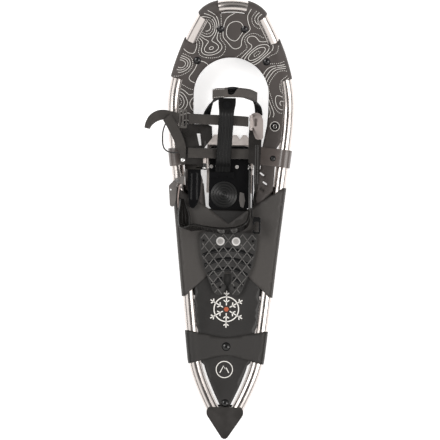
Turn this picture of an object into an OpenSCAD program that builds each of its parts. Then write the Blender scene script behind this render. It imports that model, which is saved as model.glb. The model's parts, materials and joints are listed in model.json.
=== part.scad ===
// Snowshoe with an aluminium tube frame, a laced-on deck and a pivoting boot binding.
// +Y points to the nose, +Z is up and the claw tips stand on z = 0.

/* [Frame] */
// Outside diameter of the frame tube
tube_d = 22; // [16:0.5:28]
// Wall of the frame tube
tube_wall = 1.6; // [1:0.1:3]
// Height of the tube's centre over the claw tips
tube_z = 36; // [28:1:50]
// Half the frame's greatest width
half_width = 113.5; // [90:0.5:130]
// Where the frame is widest, forward of the pivot
widest_y = 92; // [60:1:120]
// Front of the nose, forward of the pivot
nose_y = 281.5; // [240:0.5:320]
// How far the nose rises over the rest of the frame
nose_rise = 58; // [0:1:90]
// Where the nose starts to rise
rise_start = 84; // [40:1:140]

/* [Deck] */
// Thickness of the deck sheet
deck_t = 1.6; // [1:0.1:3]
// Height of the deck sheet's underside over the tube's centre
deck_n = 8; // [7.8:0.1:9]
// Radius of the toe opening's arch
toe_r = 67; // [50:1:80]
// Centre of the toe opening's arch
toe_y = 116; // [100:1:130]

/* [Bands] */
// Thickness of the woven bands round the frame
band_t = 1.6; // [1:0.1:3]
// Thickness of the moulded hinge bands
hinge_t = 3; // [2:0.5:4]
// Width of the hinge bands
hinge_w = 32; // [20:1:40]

/* [Binding] */
// Diameter of the steel pivot axle
axle_d = 8; // [6:0.5:12]
// Sheet thickness of the toe claw
claw_t = 2.5; // [2:0.5:4]
// Half the width of the toe claw over its side rails
claw_half = 41; // [30:1:50]
// Height of the footbed's top over the pivot
bed_top = 16; // [12:1:24]
// Half the width of the footbed
bed_half = 36.5; // [25:0.5:38]

/* [Heel] */
// Front edge of the heel plate
heel_y0 = -132.5; // [-140:0.5:-125]
// Thickness of the heel plate without its ribs
heel_t = 5; // [3:0.5:8]
// Distance between the two accessory holes of the heel plate
lift_spacing = 88; // [70:1:92]
// Radius of the accessory holes
lift_hole_r = 2.1; // [1.5:0.1:3]

/* [Hidden] */
$fn = 48;
eps = 0.01;
tube_r = tube_d / 2;
gap = 0.25;
deck_top = deck_n + deck_t;
band_n = deck_top + 0.3;
band_top = band_n + band_t;
ring_ri = tube_r + gap;
ring_ro = ring_ri + band_t;
hinge_ro = ring_ri + hinge_t;
hinge_n = deck_top + 0.3;
hinge_low = deck_n - 0.2;
// Moves the object's box to stand centred on the origin.
shift = [20.5, 110.5, 0];

// ---------- curves ----------
function bez(p, t) = pow(1 - t, 3) * p[0] + 3 * pow(1 - t, 2) * t * p[1]
  + 3 * (1 - t) * t * t * p[2] + t * t * t * p[3];
function bez_d(p, t) = 3 * pow(1 - t, 2) * (p[1] - p[0])
  + 6 * (1 - t) * t * (p[2] - p[1]) + 3 * t * t * (p[3] - p[2]);
function unit(v) = v / norm(v);
function flat2(v) = [v[0], v[1]];

// Right half of the frame's outside edge, nose to tail, as curves end to end.
taper = 0.108;
side_end = [half_width - 12, -43.6];
tail_start = [half_width - 45.85, -357];
outer = [
  [[0, nose_y], [24, nose_y], [50, nose_y - 5.5], [62, nose_y - 26.5]],
  [[62, nose_y - 26.5], [86.8, 211.6], [half_width, 152], [half_width, widest_y]],
  [[half_width, widest_y], [half_width, 52], side_end + 46 * [taper, 1], side_end],
  [side_end, side_end - 60 * [taper, 1], tail_start + 60 * [taper, 1], tail_start],
  [tail_start, [62, -409.3], [8.3, -496.7], [7, -497.7]]];

// The tube's centre line lies one radius inside that edge.
function inset_pt(p, t, d) = let(v = unit(bez_d(p, t))) bez(p, t) + d * [v[1], -v[0]];
steps = 14;
centre = [for (k = [0:4]) for (i = [(k == 0 ? 0 : 1):steps])
  let(q = inset_pt(outer[k], i / steps, tube_r)) if (q[1] > -474) q];
function run(i) = i == 0 ? 0 : run(i - 1) + norm(centre[i] - centre[i - 1]);
len_x = [for (i = [0:len(centre) - 1]) [run(i), centre[i][0]]];
len_y = [for (i = [0:len(centre) - 1]) [run(i), centre[i][1]]];
y_len = [for (i = [len(centre) - 1:-1:0]) [centre[i][1], run(i)]];
total = run(len(centre) - 1);
function s_at(y) = lookup(y, y_len);

// Side view: flat, then rising to the nose.
rise_k = nose_rise / pow(nose_y - tube_r - rise_start, 2);
function rise(y) = y > rise_start ? rise_k * pow(y - rise_start, 2) : 0;
function slope(y) = y > rise_start ? 2 * rise_k * (y - rise_start) : 0;
function up(y) = unit([0, -slope(y), 1]);

// Tube's centre and direction at a run s from the nose.
function c2(s) = [lookup(s, len_x), lookup(s, len_y)];
function c3(s) = let(q = c2(s)) [q[0], q[1], tube_z + rise(q[1])];
function dir(s) = unit(c3(min(s + 2, total)) - c3(max(s - 2, 0)));
function along(s, n, b) = c3(s) + n * up(c3(s)[1]) - b * unit(cross(up(c3(s)[1]), dir(s)));
// A sheet's edge over the tube, in plan, n above its centre and b inside it.
function edge(s, n, b) = flat2(along(s, n, b));

// ---------- sweeps ----------
// Joins rings of points into one closed solid; a hollow one has an inner list too.
module skin(rings) {
  n = len(rings[0]);
  m = len(rings);
  pts = [for (r = rings) each r];
  sides = [for (i = [0:m - 2]) for (j = [0:n - 1])
    [i * n + j, i * n + (j + 1) % n, (i + 1) * n + (j + 1) % n, (i + 1) * n + j]];
  first = [[for (j = [n - 1:-1:0]) j]];
  last = [[for (j = [0:n - 1]) (m - 1) * n + j]];
  faces = concat(first, sides, last);
  polyhedron(pts, [for (f = faces) [for (k = [len(f) - 1:-1:0]) f[k]]], convexity = 10);
}

module hollow_skin(out, inn) {
  n = len(out[0]);
  m = len(out);
  o = n * m;
  pts = concat([for (r = out) each r], [for (r = inn) each r]);
  a = [for (i = [0:m - 2]) for (j = [0:n - 1])
    [i * n + j, i * n + (j + 1) % n, (i + 1) * n + (j + 1) % n, (i + 1) * n + j]];
  b = [for (i = [0:m - 2]) for (j = [0:n - 1])
    [o + i * n + (j + 1) % n, o + i * n + j, o + (i + 1) * n + j, o + (i + 1) * n + (j + 1) % n]];
  ends = [for (j = [0:n - 1]) each [
    [j, o + j, o + (j + 1) % n, (j + 1) % n],
    [(m - 1) * n + j, (m - 1) * n + (j + 1) % n, o + (m - 1) * n + (j + 1) % n, o + (m - 1) * n + j]]];
  faces = concat(a, b, ends);
  polyhedron(pts, [for (f = faces) [for (k = [3:-1:0]) f[k]]], convexity = 10);
}

function ring(s, r, sides, side) = let(q = c3(s), u = up(q[1]), v = unit(cross(dir(s), u)))
  [for (j = [0:sides - 1]) let(a = 360 * j / sides)
    let(p = q + r * (cos(a) * u + sin(a) * v)) [side * p[0], p[1], p[2]]];

// Piece of pipe round the frame line between two runs.
module frame_pipe(s0, s1, r_out, r_in, n = 6, sides = 20) {
  ss = [for (i = [0:n]) s0 + (s1 - s0) * i / n];
  hollow_skin([for (s = ss) ring(s, r_out, sides, 1)], [for (s = ss) ring(s, r_in, sides, 1)]);
}

module both() {
  children();
  mirror([1, 0, 0]) children();
}

// Sheet that follows the frame's side view between two heights over the tube's centre.
side_ys = concat([-480, rise_start], [for (i = [1:12]) rise_start + i * 17]);
module sheet(n0, n1) {
  intersection() {
    translate([0, 0, -20]) linear_extrude(200) children();
    rotate([90, 0, 90]) translate([0, 0, -130]) linear_extrude(260)
      polygon(concat(
        [for (y = side_ys) let(u = up(y)) [y + n1 * u[1], tube_z + rise(y) + n1 * u[2]]],
        [for (i = [len(side_ys) - 1:-1:0]) let(y = side_ys[i], u = up(y))
          [y + n0 * u[1], tube_z + rise(y) + n0 * u[2]]]));
  }
}

// Strap along 3-D points: p is the middle, w the half-width vector, t the thickness.
function tangent(p, i) = unit(p[min(i + 1, len(p) - 1)] - p[max(i - 1, 0)]);
module strap(p, w, t) {
  skin([for (i = [0:len(p) - 1])
    let(d = tangent(p, i), v = w[i], n = unit(cross(d, v)) * t / 2)
      [p[i] - v - n, p[i] + v - n, p[i] + v + n, p[i] - v + n]]);
}
// Smooth list of points through hand-placed ones (Catmull-Rom).
function cr(a, b, c, d, t) = 0.5 * ((2 * b) + (c - a) * t + (2 * a - 5 * b + 4 * c - d) * t * t
  + (3 * b - a - 3 * c + d) * t * t * t);
function smooth(p, k) = let(m = len(p) - 1) [for (i = [0:m - 1]) for (j = [0:k - (i == m - 1 ? 0 : 1)])
  cr(p[max(i - 1, 0)], p[i], p[i + 1], p[min(i + 2, m)], j / k)];

module wire(p, r, sides) {
  skin([for (i = [0:len(p) - 1])
    let(d = tangent(p, i), a = unit(cross(d, abs(d[2]) > 0.9 ? [1, 0, 0] : [0, 0, 1])), b = cross(a, d))
      [for (j = [0:sides - 1]) p[i] + r * (cos(360 * j / sides) * a - sin(360 * j / sides) * b)]]);
}

module dome(r, h) {
  rotate_extrude() intersection() {
    translate([0, h - (r * r + h * h) / (2 * h)]) circle((r * r + h * h) / (2 * h));
    square([r, h]);
  }
}

// Rivet with a shank below z = 0 and a domed head above it.
module rivet(r_head, h_head, r_shank, depth, r_tail) {
  dome(r_head, h_head);
  translate([0, 0, -depth]) cylinder(r = r_shank, h = depth + eps);
  translate([0, 0, -depth - 1]) cylinder(r = r_tail, h = 1 + eps);
}

module rounded_rect(x0, y0, x1, y1, r) {
  union() {
    translate([x0 + r, y0]) square([x1 - x0 - 2 * r, y1 - y0]);
    translate([x0, y0 + r]) square([x1 - x0, y1 - y0 - 2 * r]);
    for (x = [x0 + r, x1 - r]) for (y = [y0 + r, y1 - r]) translate([x, y]) circle(r);
  }
}

// ---------- frame ----------
tube_runs = concat([for (s = [0:8:136]) s], [for (s = [150:14:332]) s],
  [for (s = [360:32:616]) s], [for (s = [636:12:total - 4]) s], [total]);
module frame_tube() color([0.78, 0.76, 0.73]) {
  n = len(tube_runs);
  out = concat([for (i = [n - 1:-1:1]) ring(tube_runs[i], tube_r, 20, -1)],
    [for (s = tube_runs) ring(s, tube_r, 20, 1)]);
  inn = concat([for (i = [n - 1:-1:1]) ring(tube_runs[i], tube_r - tube_wall, 20, -1)],
    [for (s = tube_runs) ring(s, tube_r - tube_wall, 20, 1)]);
  hollow_skin(out, inn);
}

module tail_cap() color([0.12, 0.12, 0.12]) {
  difference() {
    hull() {
      for (x = [-20, 20]) translate([x, -455, tube_z - 13]) cylinder(r = 13, h = 26.4, $fn = 32);
      translate([0, -449, tube_z - 13]) cylinder(r = 5, h = 26, $fn = 32);
      translate([0, -494.9, tube_z - 10]) cylinder(r = 7.6, h = 21, $fn = 32);
    }
    both() tail_socket();
    translate([0, -438, tube_z + 3]) cube([70, 14.8, 30], center = true);
  }
  // Tongue that the deck's tail is riveted to.
  difference() {
    translate([-8, -452, tube_z + 3]) cube([16, 24, deck_n - 3 - 0.2]);
    translate([0, -438, tube_z]) cylinder(r = 2.6, h = 20);
  }
}

// Space of the tube's end, down to its cut face.
module tail_socket() {
  skin([for (s = tube_runs) if (s > total - 70) ring(s, tube_r + 0.3, 20, 1)]);
}

// ---------- front deck ----------
arm_pts = [[57, 18], [61.6, 42], [65, 60], [66.8, 84]];
module front_plan() {
  arms = [for (y = [150:-15:30]) edge(s_at(y), deck_n, 8.3)];
  right = concat([for (s = [4:8:s_at(165)]) edge(s, deck_n, 8.6)], arms,
    [[83.6, 20], [80.6, -17], [80, -30], [78, -57], [66, -67], [58, -84], [47.6, -86],
      [47.6, -40], [55, -17], [57, -2]], arm_pts,
    [for (a = [0:6:84]) [toe_r * cos(a), toe_y + toe_r * sin(a)]]);
  n = len(right);
  polygon(concat(right, [for (i = [n - 1:-1:0]) [-right[i][0], right[i][1]]]));
}
function wrap_span(k) = k == 0 ? [24.5, 55.5] : [s_at(209), s_at(143)];
rivet_spots = [[21.5, 234], [62, 176.5]];
module front_deck() color([0.25, 0.24, 0.23]) {
  difference() {
    union() {
      sheet(deck_n, deck_top) front_plan();
      both() for (k = [0:1]) frame_pipe(wrap_span(k)[0], wrap_span(k)[1], ring_ro, ring_ri, 5);
      // Ends of the four tabs, turned back under the deck to their rivets.
      sheet(deck_n - deck_t - 0.2, deck_n - 0.2) both() for (k = [0:1]) flap_plan(k);
    }
    both() for (q = rivet_spots) place_on_deck(q, deck_n) cylinder(r = 2.1, h = 12, center = true);
    both() translate([79.3, 59, 0]) cylinder(r = 3.1, h = 90);
    both() translate([77, 1.5, 0]) cylinder(r = 2.6, h = 90);
    both() for (q = [[58, -27], [63.5, -43], [58, -55]]) translate([q[0], q[1], 30]) rotate(-35)
      linear_extrude(30) rounded_rect(-5, -1.4, 5, 1.4, 1.35);
  }
}
module flap_plan(k) {
  s = wrap_span(k);
  q = rivet_spots[k];
  ss = [for (i = [0:4]) s[0] + (s[1] - s[0]) * i / 4];
  toward = unit(q - c2((s[0] + s[1]) / 2));
  side = [-toward[1], toward[0]];
  polygon(concat([for (t = ss) edge(t, deck_n - 1, 9.6)],
    [q + 7 * toward + 9 * side, q + 7 * toward - 9 * side]));
}

module deck_rivets() color([0.1, 0.1, 0.1]) both() for (q = rivet_spots)
  place_on_deck(q, deck_top + 0.16) rivet(7, 3.2, 1.9, 2 * deck_t + 0.8, 4);

// Puts children on the deck, square to it, n above the tube's centre.
module place_on_deck(q, n) {
  y = q[1];
  u = up(y);
  translate([q[0], y, tube_z + rise(y)] + n * u) rotate([atan(slope(y)), 0, 0]) children();
}

module arm_eyelets() color([0.7, 0.68, 0.65]) both()
  translate([79.3, 59, tube_z + deck_top + 0.02]) difference() {
  union() {
    cylinder(r = 6.2, h = 1.2);
    translate([0, 0, -deck_t - 0.04]) cylinder(r = 3, h = deck_t + 0.1);
    translate([0, 0, -deck_t - 0.84]) cylinder(r = 5, h = 0.8);
  }
  translate([0, 0, -5]) cylinder(r = 2.2, h = 10);
}

// ---------- rear deck and bands ----------
mid_s = [s_at(-50), s_at(-247)];
tail_s = [s_at(-308), s_at(-366)];
function rear_inset(s) = s < mid_s[1] + 3 || (s > tail_s[0] - 3 && s < tail_s[1] + 3) ? 10.8
  : s > tail_s[1] ? 14.8 : 8.3;
module rear_deck() color([0.18, 0.17, 0.16]) difference() {
  sheet(deck_n, deck_top) {
    right = concat([[0, -90], [57, -90]],
      [for (s = [s_at(-94):6:s_at(-436)]) edge(s, deck_n, rear_inset(s))],
      [[9, -442.6], [0, -444]]);
    n = len(right);
    polygon(concat(right, [for (i = [n - 1:-1:0]) [-right[i][0], right[i][1]]]));
  }
  translate([0, -438, 0]) cylinder(r = 2.6, h = 90);
  translate([0, -337, 0]) cylinder(r = 2.6, h = 90);
  for (q = concat(heel_screw_at, heel_bolt_at)) translate([q[0], q[1], 0]) cylinder(r = 2.7, h = 90);
}

// Bow-tie band: round both tubes, crossing over the deck; point is its front edge's middle.
module band(s, mid0, mid1, reach, point) {
  both() frame_pipe(s[0], s[1], ring_ro, ring_ri, 8);
  sheet(band_n, band_top) {
    n = 8;
    right = [for (i = [0:n]) edge(s[0] + (s[1] - s[0]) * i / n, band_n, 6.6)];
    side = concat([[reach, mid0]], right, [[reach, mid1]]);
    polygon(concat([[0, point]], side, [for (i = [n + 2:-1:0]) [-side[i][0], side[i][1]]]));
  }
}
module mid_band() color([0.23, 0.22, 0.215]) difference() {
  union() {
    band(mid_s, -91.5, -207, 34, -117);
    // Return plies under the deck.
    both() sheet(deck_n - 1.9, deck_n - 0.3) {
      n = 6;
      right = [for (i = [0:n]) edge(mid_s[0] + (mid_s[1] - mid_s[0]) * i / n, 6, 10)];
      polygon(concat([[46, -86]], right, [[44, -212]]));
    }
  }
  for (q = concat(heel_screw_at, heel_bolt_at)) translate([q[0], q[1], 0]) cylinder(r = 2.7, h = 90);
}
module tail_band() color([0.22, 0.21, 0.2]) difference() {
  band(tail_s, -320, -353, 8, -320.4);
  translate([0, -337, 0]) cylinder(r = 2.6, h = 90);
}
module tail_rivets() color([0.08, 0.08, 0.08]) {
  translate([0, -337, tube_z + band_top + 0.02]) rivet(8, 3.6, 2.5, band_top - deck_n + 0.1, 5);
  translate([0, -438, tube_z + deck_top + 0.02]) rivet(7, 3.2, 2.5, deck_top - 2.9, 4.2);
}

// ---------- hinge bands ----------
hinge_x = 47.6;
solid_x = 56;
module hinge_band() color([0.66, 0.6, 0.58]) difference() {
  union() {
    frame_pipe(s_at(1.5 + hinge_w / 2), s_at(1.5 - hinge_w / 2), hinge_ro, ring_ri, 4);
    translate([hinge_x, 1.5 - hinge_w / 2, tube_z + hinge_n]) hinge_ply(40);
    translate([hinge_x, 1.5 - hinge_w / 2, tube_z + hinge_low - hinge_t]) hinge_ply(36.6);
    translate([hinge_x, 1.5 - hinge_w / 2, tube_z + hinge_low - hinge_t])
      cube([solid_x - hinge_x - 2, hinge_w, hinge_n + hinge_t - hinge_low + hinge_t]);
  }
  translate([77, 1.5, 0]) cylinder(r = 2.6, h = 90);
  for (y = [-9, 12]) translate([51, y, 0]) cylinder(r = 1.6, h = 90);
}
module hinge_ply(reach) linear_extrude(hinge_t)
  polygon([[0, 3], [3, 0], [reach, 0], [reach, hinge_w], [3, hinge_w], [0, hinge_w - 3]]);
module hinge_band_right() hinge_band();
module hinge_band_left() mirror([1, 0, 0]) hinge_band();
module hinge_rivets() color([0.2, 0.2, 0.2]) both() translate([77, 1.5, tube_z + hinge_n + hinge_t + 0.02])
  rivet(5.2, 2.4, 2.5, hinge_n + hinge_t - hinge_low + hinge_t + 0.08, 4.5);

// Steel hangers under the bands' inner ends; each has a closed cup for the axle's end.
cup_x0 = 41.6;
cup_x1 = 46.4;
module hanger() color([0.55, 0.53, 0.51]) difference() {
  union() {
    translate([cup_x0, 0, tube_z]) rotate([0, 90, 0]) cylinder(r = 6.6, h = cup_x1 - cup_x0);
    translate([cup_x0, -12, tube_z + 2.9]) cube([cup_x1 - cup_x0, 26, 1.8]);
    translate([cup_x0, -12, tube_z + 2.9]) cube([24, 26, 1.8]);
  }
  translate([cup_x0 - 1, 0, tube_z]) rotate([0, 90, 0]) cylinder(r = axle_d / 2 + 0.05, h = 4.5);
  for (y = [-9, 12]) translate([51, y, 0]) cylinder(r = 1.6, h = 90);
}
module hanger_right() hanger();
module hanger_left() mirror([1, 0, 0]) hanger();
module hanger_rivets() color([0.5, 0.48, 0.46]) both() for (y = [-9, 12])
  translate([51, y, tube_z + hinge_n + hinge_t + 0.02]) rivet(2.8, 1.2, 1.5, hinge_n + hinge_t - 2.84, 2.6);

// ---------- heel ----------
heel_z = tube_z + band_top + 0.3;
heel_screw_at = [[-14, -148.5], [14, -148.5]];
heel_bolt_at = [[-lift_spacing / 2, -147.5], [lift_spacing / 2, -147.5]];
heel_back_at = [[-13, -231], [13, -231]];
module heel_plan() {
  side = [[0, heel_y0], [44, heel_y0], [50, heel_y0 - 3], [52, heel_y0 - 9], [50.5, -160], [48.4, -173.6],
    [44.5, -192], [38.8, -206], [32, -222], [25.5, -238], [22, -243], [16.5, -245.5], [10, -244],
    [5, -238], [2.6, -231], [2.6, -225]];
  n = len(side) - 1;
  difference() {
    polygon(concat(side, [for (i = [n:-1:1]) [-side[i][0], side[i][1]]]));
    translate([0, -215.5]) scale([7.2, 13.5]) circle(1);
    for (q = concat(heel_screw_at, heel_bolt_at)) translate(q) circle(lift_hole_r);
    for (q = heel_back_at) translate(q) circle(2);
  }
}
module heel_ribs() intersection() {
  difference() {
    heel_plan();
    for (q = heel_screw_at) translate(q) circle(8.4);
    for (q = heel_bolt_at) translate(q) circle(4.6);
  }
  union() {
    for (i = [-9:9]) for (a = [38, -38])
      translate([i * 17, -190]) rotate(a) square([1.7, 260], center = true);
    for (r = [30, 47, 64, 81]) translate([0, -252]) difference() {
      circle(r + 1);
      circle(r - 1);
    }
    difference() {
      heel_plan();
      translate([0, -188]) scale([0.945, 0.955]) translate([0, 188]) heel_plan();
    }
  }
}
module heel_plate() color([0.17, 0.17, 0.17]) translate([0, 0, heel_z]) {
  linear_extrude(heel_t) heel_plan();
  translate([0, 0, heel_t - eps]) linear_extrude(1.2) heel_ribs();
}
module heel_washers() color([0.75, 0.74, 0.72]) for (q = heel_screw_at)
  translate([q[0], q[1], heel_z + heel_t + 0.02]) difference() {
    cylinder(r = 7.6, h = 1.2);
    translate([0, 0, -1]) cylinder(r = 2.15, h = 3);
  }
module heel_screws() color([0.25, 0.25, 0.26])
  for (q = heel_screw_at) translate([q[0], q[1], 0]) difference() {
  union() {
    translate([0, 0, heel_z + heel_t + 1.24]) cylinder(r = 5, h = 1.6);
    translate([0, 0, tube_z - 3]) cylinder(r = 2, h = heel_z + heel_t + 1.3 - tube_z + 3);
  }
  translate([0, 0, heel_z + heel_t + 1.4]) cylinder(r = 1.7, h = 3, $fn = 6);
}
// Toothed steel channel bolted under the deck at the heel.
claw_z1 = tube_z + deck_n - 2.2;
module heel_claw() color([0.6, 0.57, 0.55]) difference() {
  union() {
    translate([-52, -168, claw_z1 - claw_t]) cube([104, 40, claw_t]);
    for (y = [-168, -128 - claw_t]) translate([0, y + claw_t, 0]) rotate([90, 0, 0]) linear_extrude(claw_t)
      heel_teeth();
  }
  for (q = heel_screw_at) translate([q[0], q[1], 0]) cylinder(r = 2.15, h = 90);
  // Clearance for bolts through the accessory holes.
  for (q = heel_bolt_at) translate([q[0], q[1], 0]) cylinder(r = 2 * lift_hole_r, h = 90);
}
module heel_teeth() {
  tooth = 17.33;
  polygon(concat([[-52, claw_z1], [-52, 16]],
    [for (i = [0:5]) each [[-52 + tooth * (i + 0.35), 0], [-52 + tooth * (i + 0.65), 0],
      [-52 + tooth * (i + 1), 16]]], [[52, claw_z1]]));
}
module heel_nuts() color([0.6, 0.58, 0.56]) for (q = heel_screw_at)
  translate([q[0], q[1], claw_z1 - claw_t - 4.02]) difference() {
    cylinder(r = 4.6, h = 4, $fn = 6);
    translate([0, 0, -1]) cylinder(r = 2.02, h = 6);
  }

// ---------- binding: heights here are over the pivot's axis ----------
module at_pivot() translate([0, 0, tube_z]) children();
web_top = 6.9;
ear_top = 36;
// Round of a sheet-metal bend, as the small step that it leaves at the outer corner.
bend_step = 0.6;
heel_pin_at = [-16, 24.5];
wing_axis = [-44.9, 34];
wing_rivet_at = [[0.5, 24], [11, 24]];
bed_screw_at = [[-33, -15], [13, -15]];

module pivot_axle() color([0.72, 0.7, 0.68]) at_pivot() rotate([0, 90, 0])
  cylinder(r = axle_d / 2, h = 2 * 44.9, center = true);

// A plate standing in the Y-Z plane, drawn as [y, z], between two X values.
module upright(x0, x1) translate([x0, 0, 0]) rotate([90, 0, 90]) linear_extrude(x1 - x0) children();

module rail_shape() {
  pitch = 12;
  top = web_top - bend_step;
  polygon(concat([[22.5, top], [22.5, -14], [20, -22]],
    [for (i = [0:5]) each [[14 - pitch * i + 2.4, -tube_z], [14 - pitch * i - 1.2, -tube_z],
      [14 - pitch * i - 5.4, -tube_z + 10]]], [[-55, -24], [-61.6, -8], [-61.6, top]]));
}
module ear_shape() {
  hull() {
    translate([-14, ear_top - 8]) circle(8);
    translate([8, ear_top - 8]) circle(8);
    translate([-22, 0]) square([38, 6]);
  }
}
// Front claw, folded down from the channel's front edge.
module front_teeth() {
  half = 52;
  pitch = 2 * half / 6;
  side = claw_half - bend_step / 2;
  polygon(concat([[-side, -1], [-side, -10], [-half, -18]],
    [for (i = [0:5]) each [[-half + pitch * (i + 0.32), -46], [-half + pitch * (i + 0.68), -46],
      [-half + pitch * (i + 1), i == 5 ? -18 : -27]]], [[side, -10], [side, -1]]));
}
module toe_claw() color([0.68, 0.6, 0.57]) at_pivot() difference() {
  union() {
    translate([bend_step - claw_half, -62, web_top - claw_t])
      cube([2 * (claw_half - bend_step), 86, claw_t]);
    both() upright(claw_half - claw_t, claw_half) {
      rail_shape();
      ear_shape();
    }
    translate([0, 24, web_top]) rotate([115, 0, 0]) linear_extrude(claw_t) front_teeth();
    // Barrel for the left wing's hinge pin.
    translate([wing_axis[0], -9.8, wing_axis[1]]) rotate([-90, 0, 0]) cylinder(r = 3.4, h = 17.6);
    translate([wing_axis[0], -9.8, wing_axis[1] - 3]) cube([5.5, 17.6, 2.6]);
  }
  rotate([0, 90, 0]) cylinder(r = axle_d / 2 + 0.02, h = 100, center = true);
  both() translate([0, heel_pin_at[0], heel_pin_at[1]]) rotate([0, 90, 0]) cylinder(r = 2.52, h = 60);
  for (q = wing_rivet_at) translate([30, q[0], q[1]]) rotate([0, 90, 0]) cylinder(r = 1.62, h = 20);
  for (q = bed_screw_at) translate([q[0], q[1], -4]) cylinder(r = 2.55, h = 30);
  translate([wing_axis[0], -20, wing_axis[1]]) rotate([-90, 0, 0]) cylinder(r = 1.62, h = 60);
}
module footbed() color([0.07, 0.07, 0.075]) at_pivot() difference() {
  intersection() {
    linear_extrude(40) rounded_rect(-bed_half, -91, bed_half, 22, 9);
    upright(-60, 60) polygon([[23, web_top + 0.1], [23, bed_top], [-110, bed_top],
      [-110, band_top + 0.9], [-61.5, band_top + 0.9], [-61.5, web_top + 0.1]]);
  }
  for (q = bed_screw_at) translate([q[0], q[1], 0]) cylinder(r = 2.55, h = 40);
  for (x = [-33, 5]) translate([x, -30, bed_top - 3]) cylinder(r = 1.6, h = 5);
}
module footbed_screws() color([0.8, 0.79, 0.78]) at_pivot()
  for (q = bed_screw_at) translate([q[0], q[1], 0]) difference() {
    union() {
      translate([0, 0, bed_top + 0.02]) cylinder(r = 3.2, h = 1.9);
      cylinder(r = 2.5, h = bed_top + 0.1);
      translate([0, 0, -0.2]) cylinder(r = 2.5, h = 0.3);
    }
    translate([0, 0, bed_top + 0.7]) cylinder(r = 1.9, h = 3, $fn = 6);
  }
// Round traction pad with ring grooves; a boot's ball rests on it.
pad_at = [-9.4, -65];
pad_r = 24;
module sole_pad() color([0.06, 0.06, 0.065]) at_pivot() translate([pad_at[0], pad_at[1], bed_top + 0.03])
  difference() {
    cylinder(r = pad_r, h = 1.3);
    for (r = [4, 9, 14, 19]) translate([0, 0, 0.7]) difference() {
      cylinder(r = r + 1.4, h = 2);
      translate([0, 0, -1]) cylinder(r = r, h = 4);
    }
  }
module cross_bar() color([0.1, 0.1, 0.1]) at_pivot() {
  translate([-36, -35, bed_top + 0.05]) difference() {
    cube([44, 10.4, 4]);
    translate([14, -1, 1.2]) cube([20, 5, 4]);
  }
  for (x = [-33, 5]) translate([x, -30, bed_top - 2.8]) cylinder(r = 1.55, h = 3);
}

// ---------- right side ----------
flap_z = 37.6;
flap_t = 2.4;
module right_wing() color([0.13, 0.13, 0.13]) at_pivot() difference() {
  union() {
    translate([claw_half + 0.3, -11, 16.5]) cube([flap_t, 27, flap_z - 16.4]);
    translate([0, 0, flap_z]) linear_extrude(flap_t) polygon([[33, -7], [36, -9], [43.3, -9],
      [43.3, -40], [44.4, -56], [47.4, -61], [51, -54], [53.6, -30], [54.4, -5], [55.6, 30], [57.5, 62],
      [54, 71], [47, 75], [39, 74], [34, 67], [32.5, 40]]);
    for (x = [45.6, 49.6]) hull() for (y = [-44, 24]) translate([x, y, flap_z + flap_t - 0.4])
      sphere(r = 1.5, $fn = 24);
  }
  for (q = wing_rivet_at) translate([30, q[0], q[1]]) rotate([0, 90, 0]) cylinder(r = 1.62, h = 20);
}
module wing_rivets() color([0.62, 0.6, 0.58]) at_pivot() for (q = wing_rivet_at)
  translate([claw_half + 0.32 + flap_t, q[0], q[1]]) rotate([0, 90, 0])
    rivet(3.4, 1.4, 1.6, flap_t + claw_t + 0.34, 2.8);
cam_axis = [36.8, 46.2];
cam_lug_y = [50.4, 74];
module cam_body() color([0.52, 0.49, 0.48]) at_pivot() difference() {
  union() {
    translate([0, 0, flap_z + flap_t + 0.1]) linear_extrude(2.2) hull() {
      translate([45, 70]) circle(12);
      translate([50, 41]) circle(7);
    }
    for (y = cam_lug_y) translate([33.4, y, flap_z + flap_t + 0.1]) cube([6.8, 3, 6.2]);
    for (y = cam_lug_y) translate([cam_axis[0], y, cam_axis[1]])
      rotate([-90, 0, 0]) cylinder(r = 3.4, h = 3);
    translate([39.6, cam_lug_y[0], flap_z + flap_t + 0.1]) cube([6, 3, 2.2]);
  }
  translate([cam_axis[0], 30, cam_axis[1]]) rotate([-90, 0, 0]) cylinder(r = 1.52, h = 60);
}
module cam_pin() color([0.7, 0.68, 0.66]) at_pivot() translate([cam_axis[0], 50, cam_axis[1]])
  rotate([-90, 0, 0]) cylinder(r = 1.5, h = 27.4);
// Lever with the strap's slot through it, and teeth under its barrel.
module cam_lever() color([0.66, 0.6, 0.58]) at_pivot() difference() {
  union() {
    translate([cam_axis[0], 54, cam_axis[1]]) rotate([-90, 0, 0]) cylinder(r = 3.2, h = 19.4);
    translate([0, 0, cam_axis[1] - 0.6]) linear_extrude(3) hull() {
      translate([48, 67.4]) circle(9.8);
      translate([54, 38.6]) circle(4.4);
      translate([40.9, 55]) square([1, 17.6]);
    }
    translate([cam_axis[0], 55, cam_axis[1] - 0.6]) cube([5, 17.6, 3]);
  }
  translate([cam_axis[0], 30, cam_axis[1]]) rotate([-90, 0, 0]) cylinder(r = 1.56, h = 60);
  translate([42, 57.4, cam_axis[1] - 5]) linear_extrude(20) rounded_rect(0, 0, 5.4, 14, 2.6);
}

// ---------- straps over the boot ----------
arch_pts = [[-44, 70, 27], [-41, 84, 42], [-33, 100, 54], [-18, 113, 61], [0, 118, 63], [18, 116, 61.6],
  [36, 107, 56], [47, 95, 46], [50, 80, 31]];
arch_w = [[7, 2, 0], [6.5, 2.6, 1], [4.2, 6, 3], [1.5, 8, 4.4], [0, 8.4, 4.6], [-1.5, 8, 4.4],
  [-4.2, 6, 3], [-6.5, 2.6, 1], [-7, 2, 0]];
module toe_arch() color([0.09, 0.09, 0.09]) at_pivot() strap(smooth(arch_pts, 3), smooth(arch_w, 3), 3);

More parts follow.
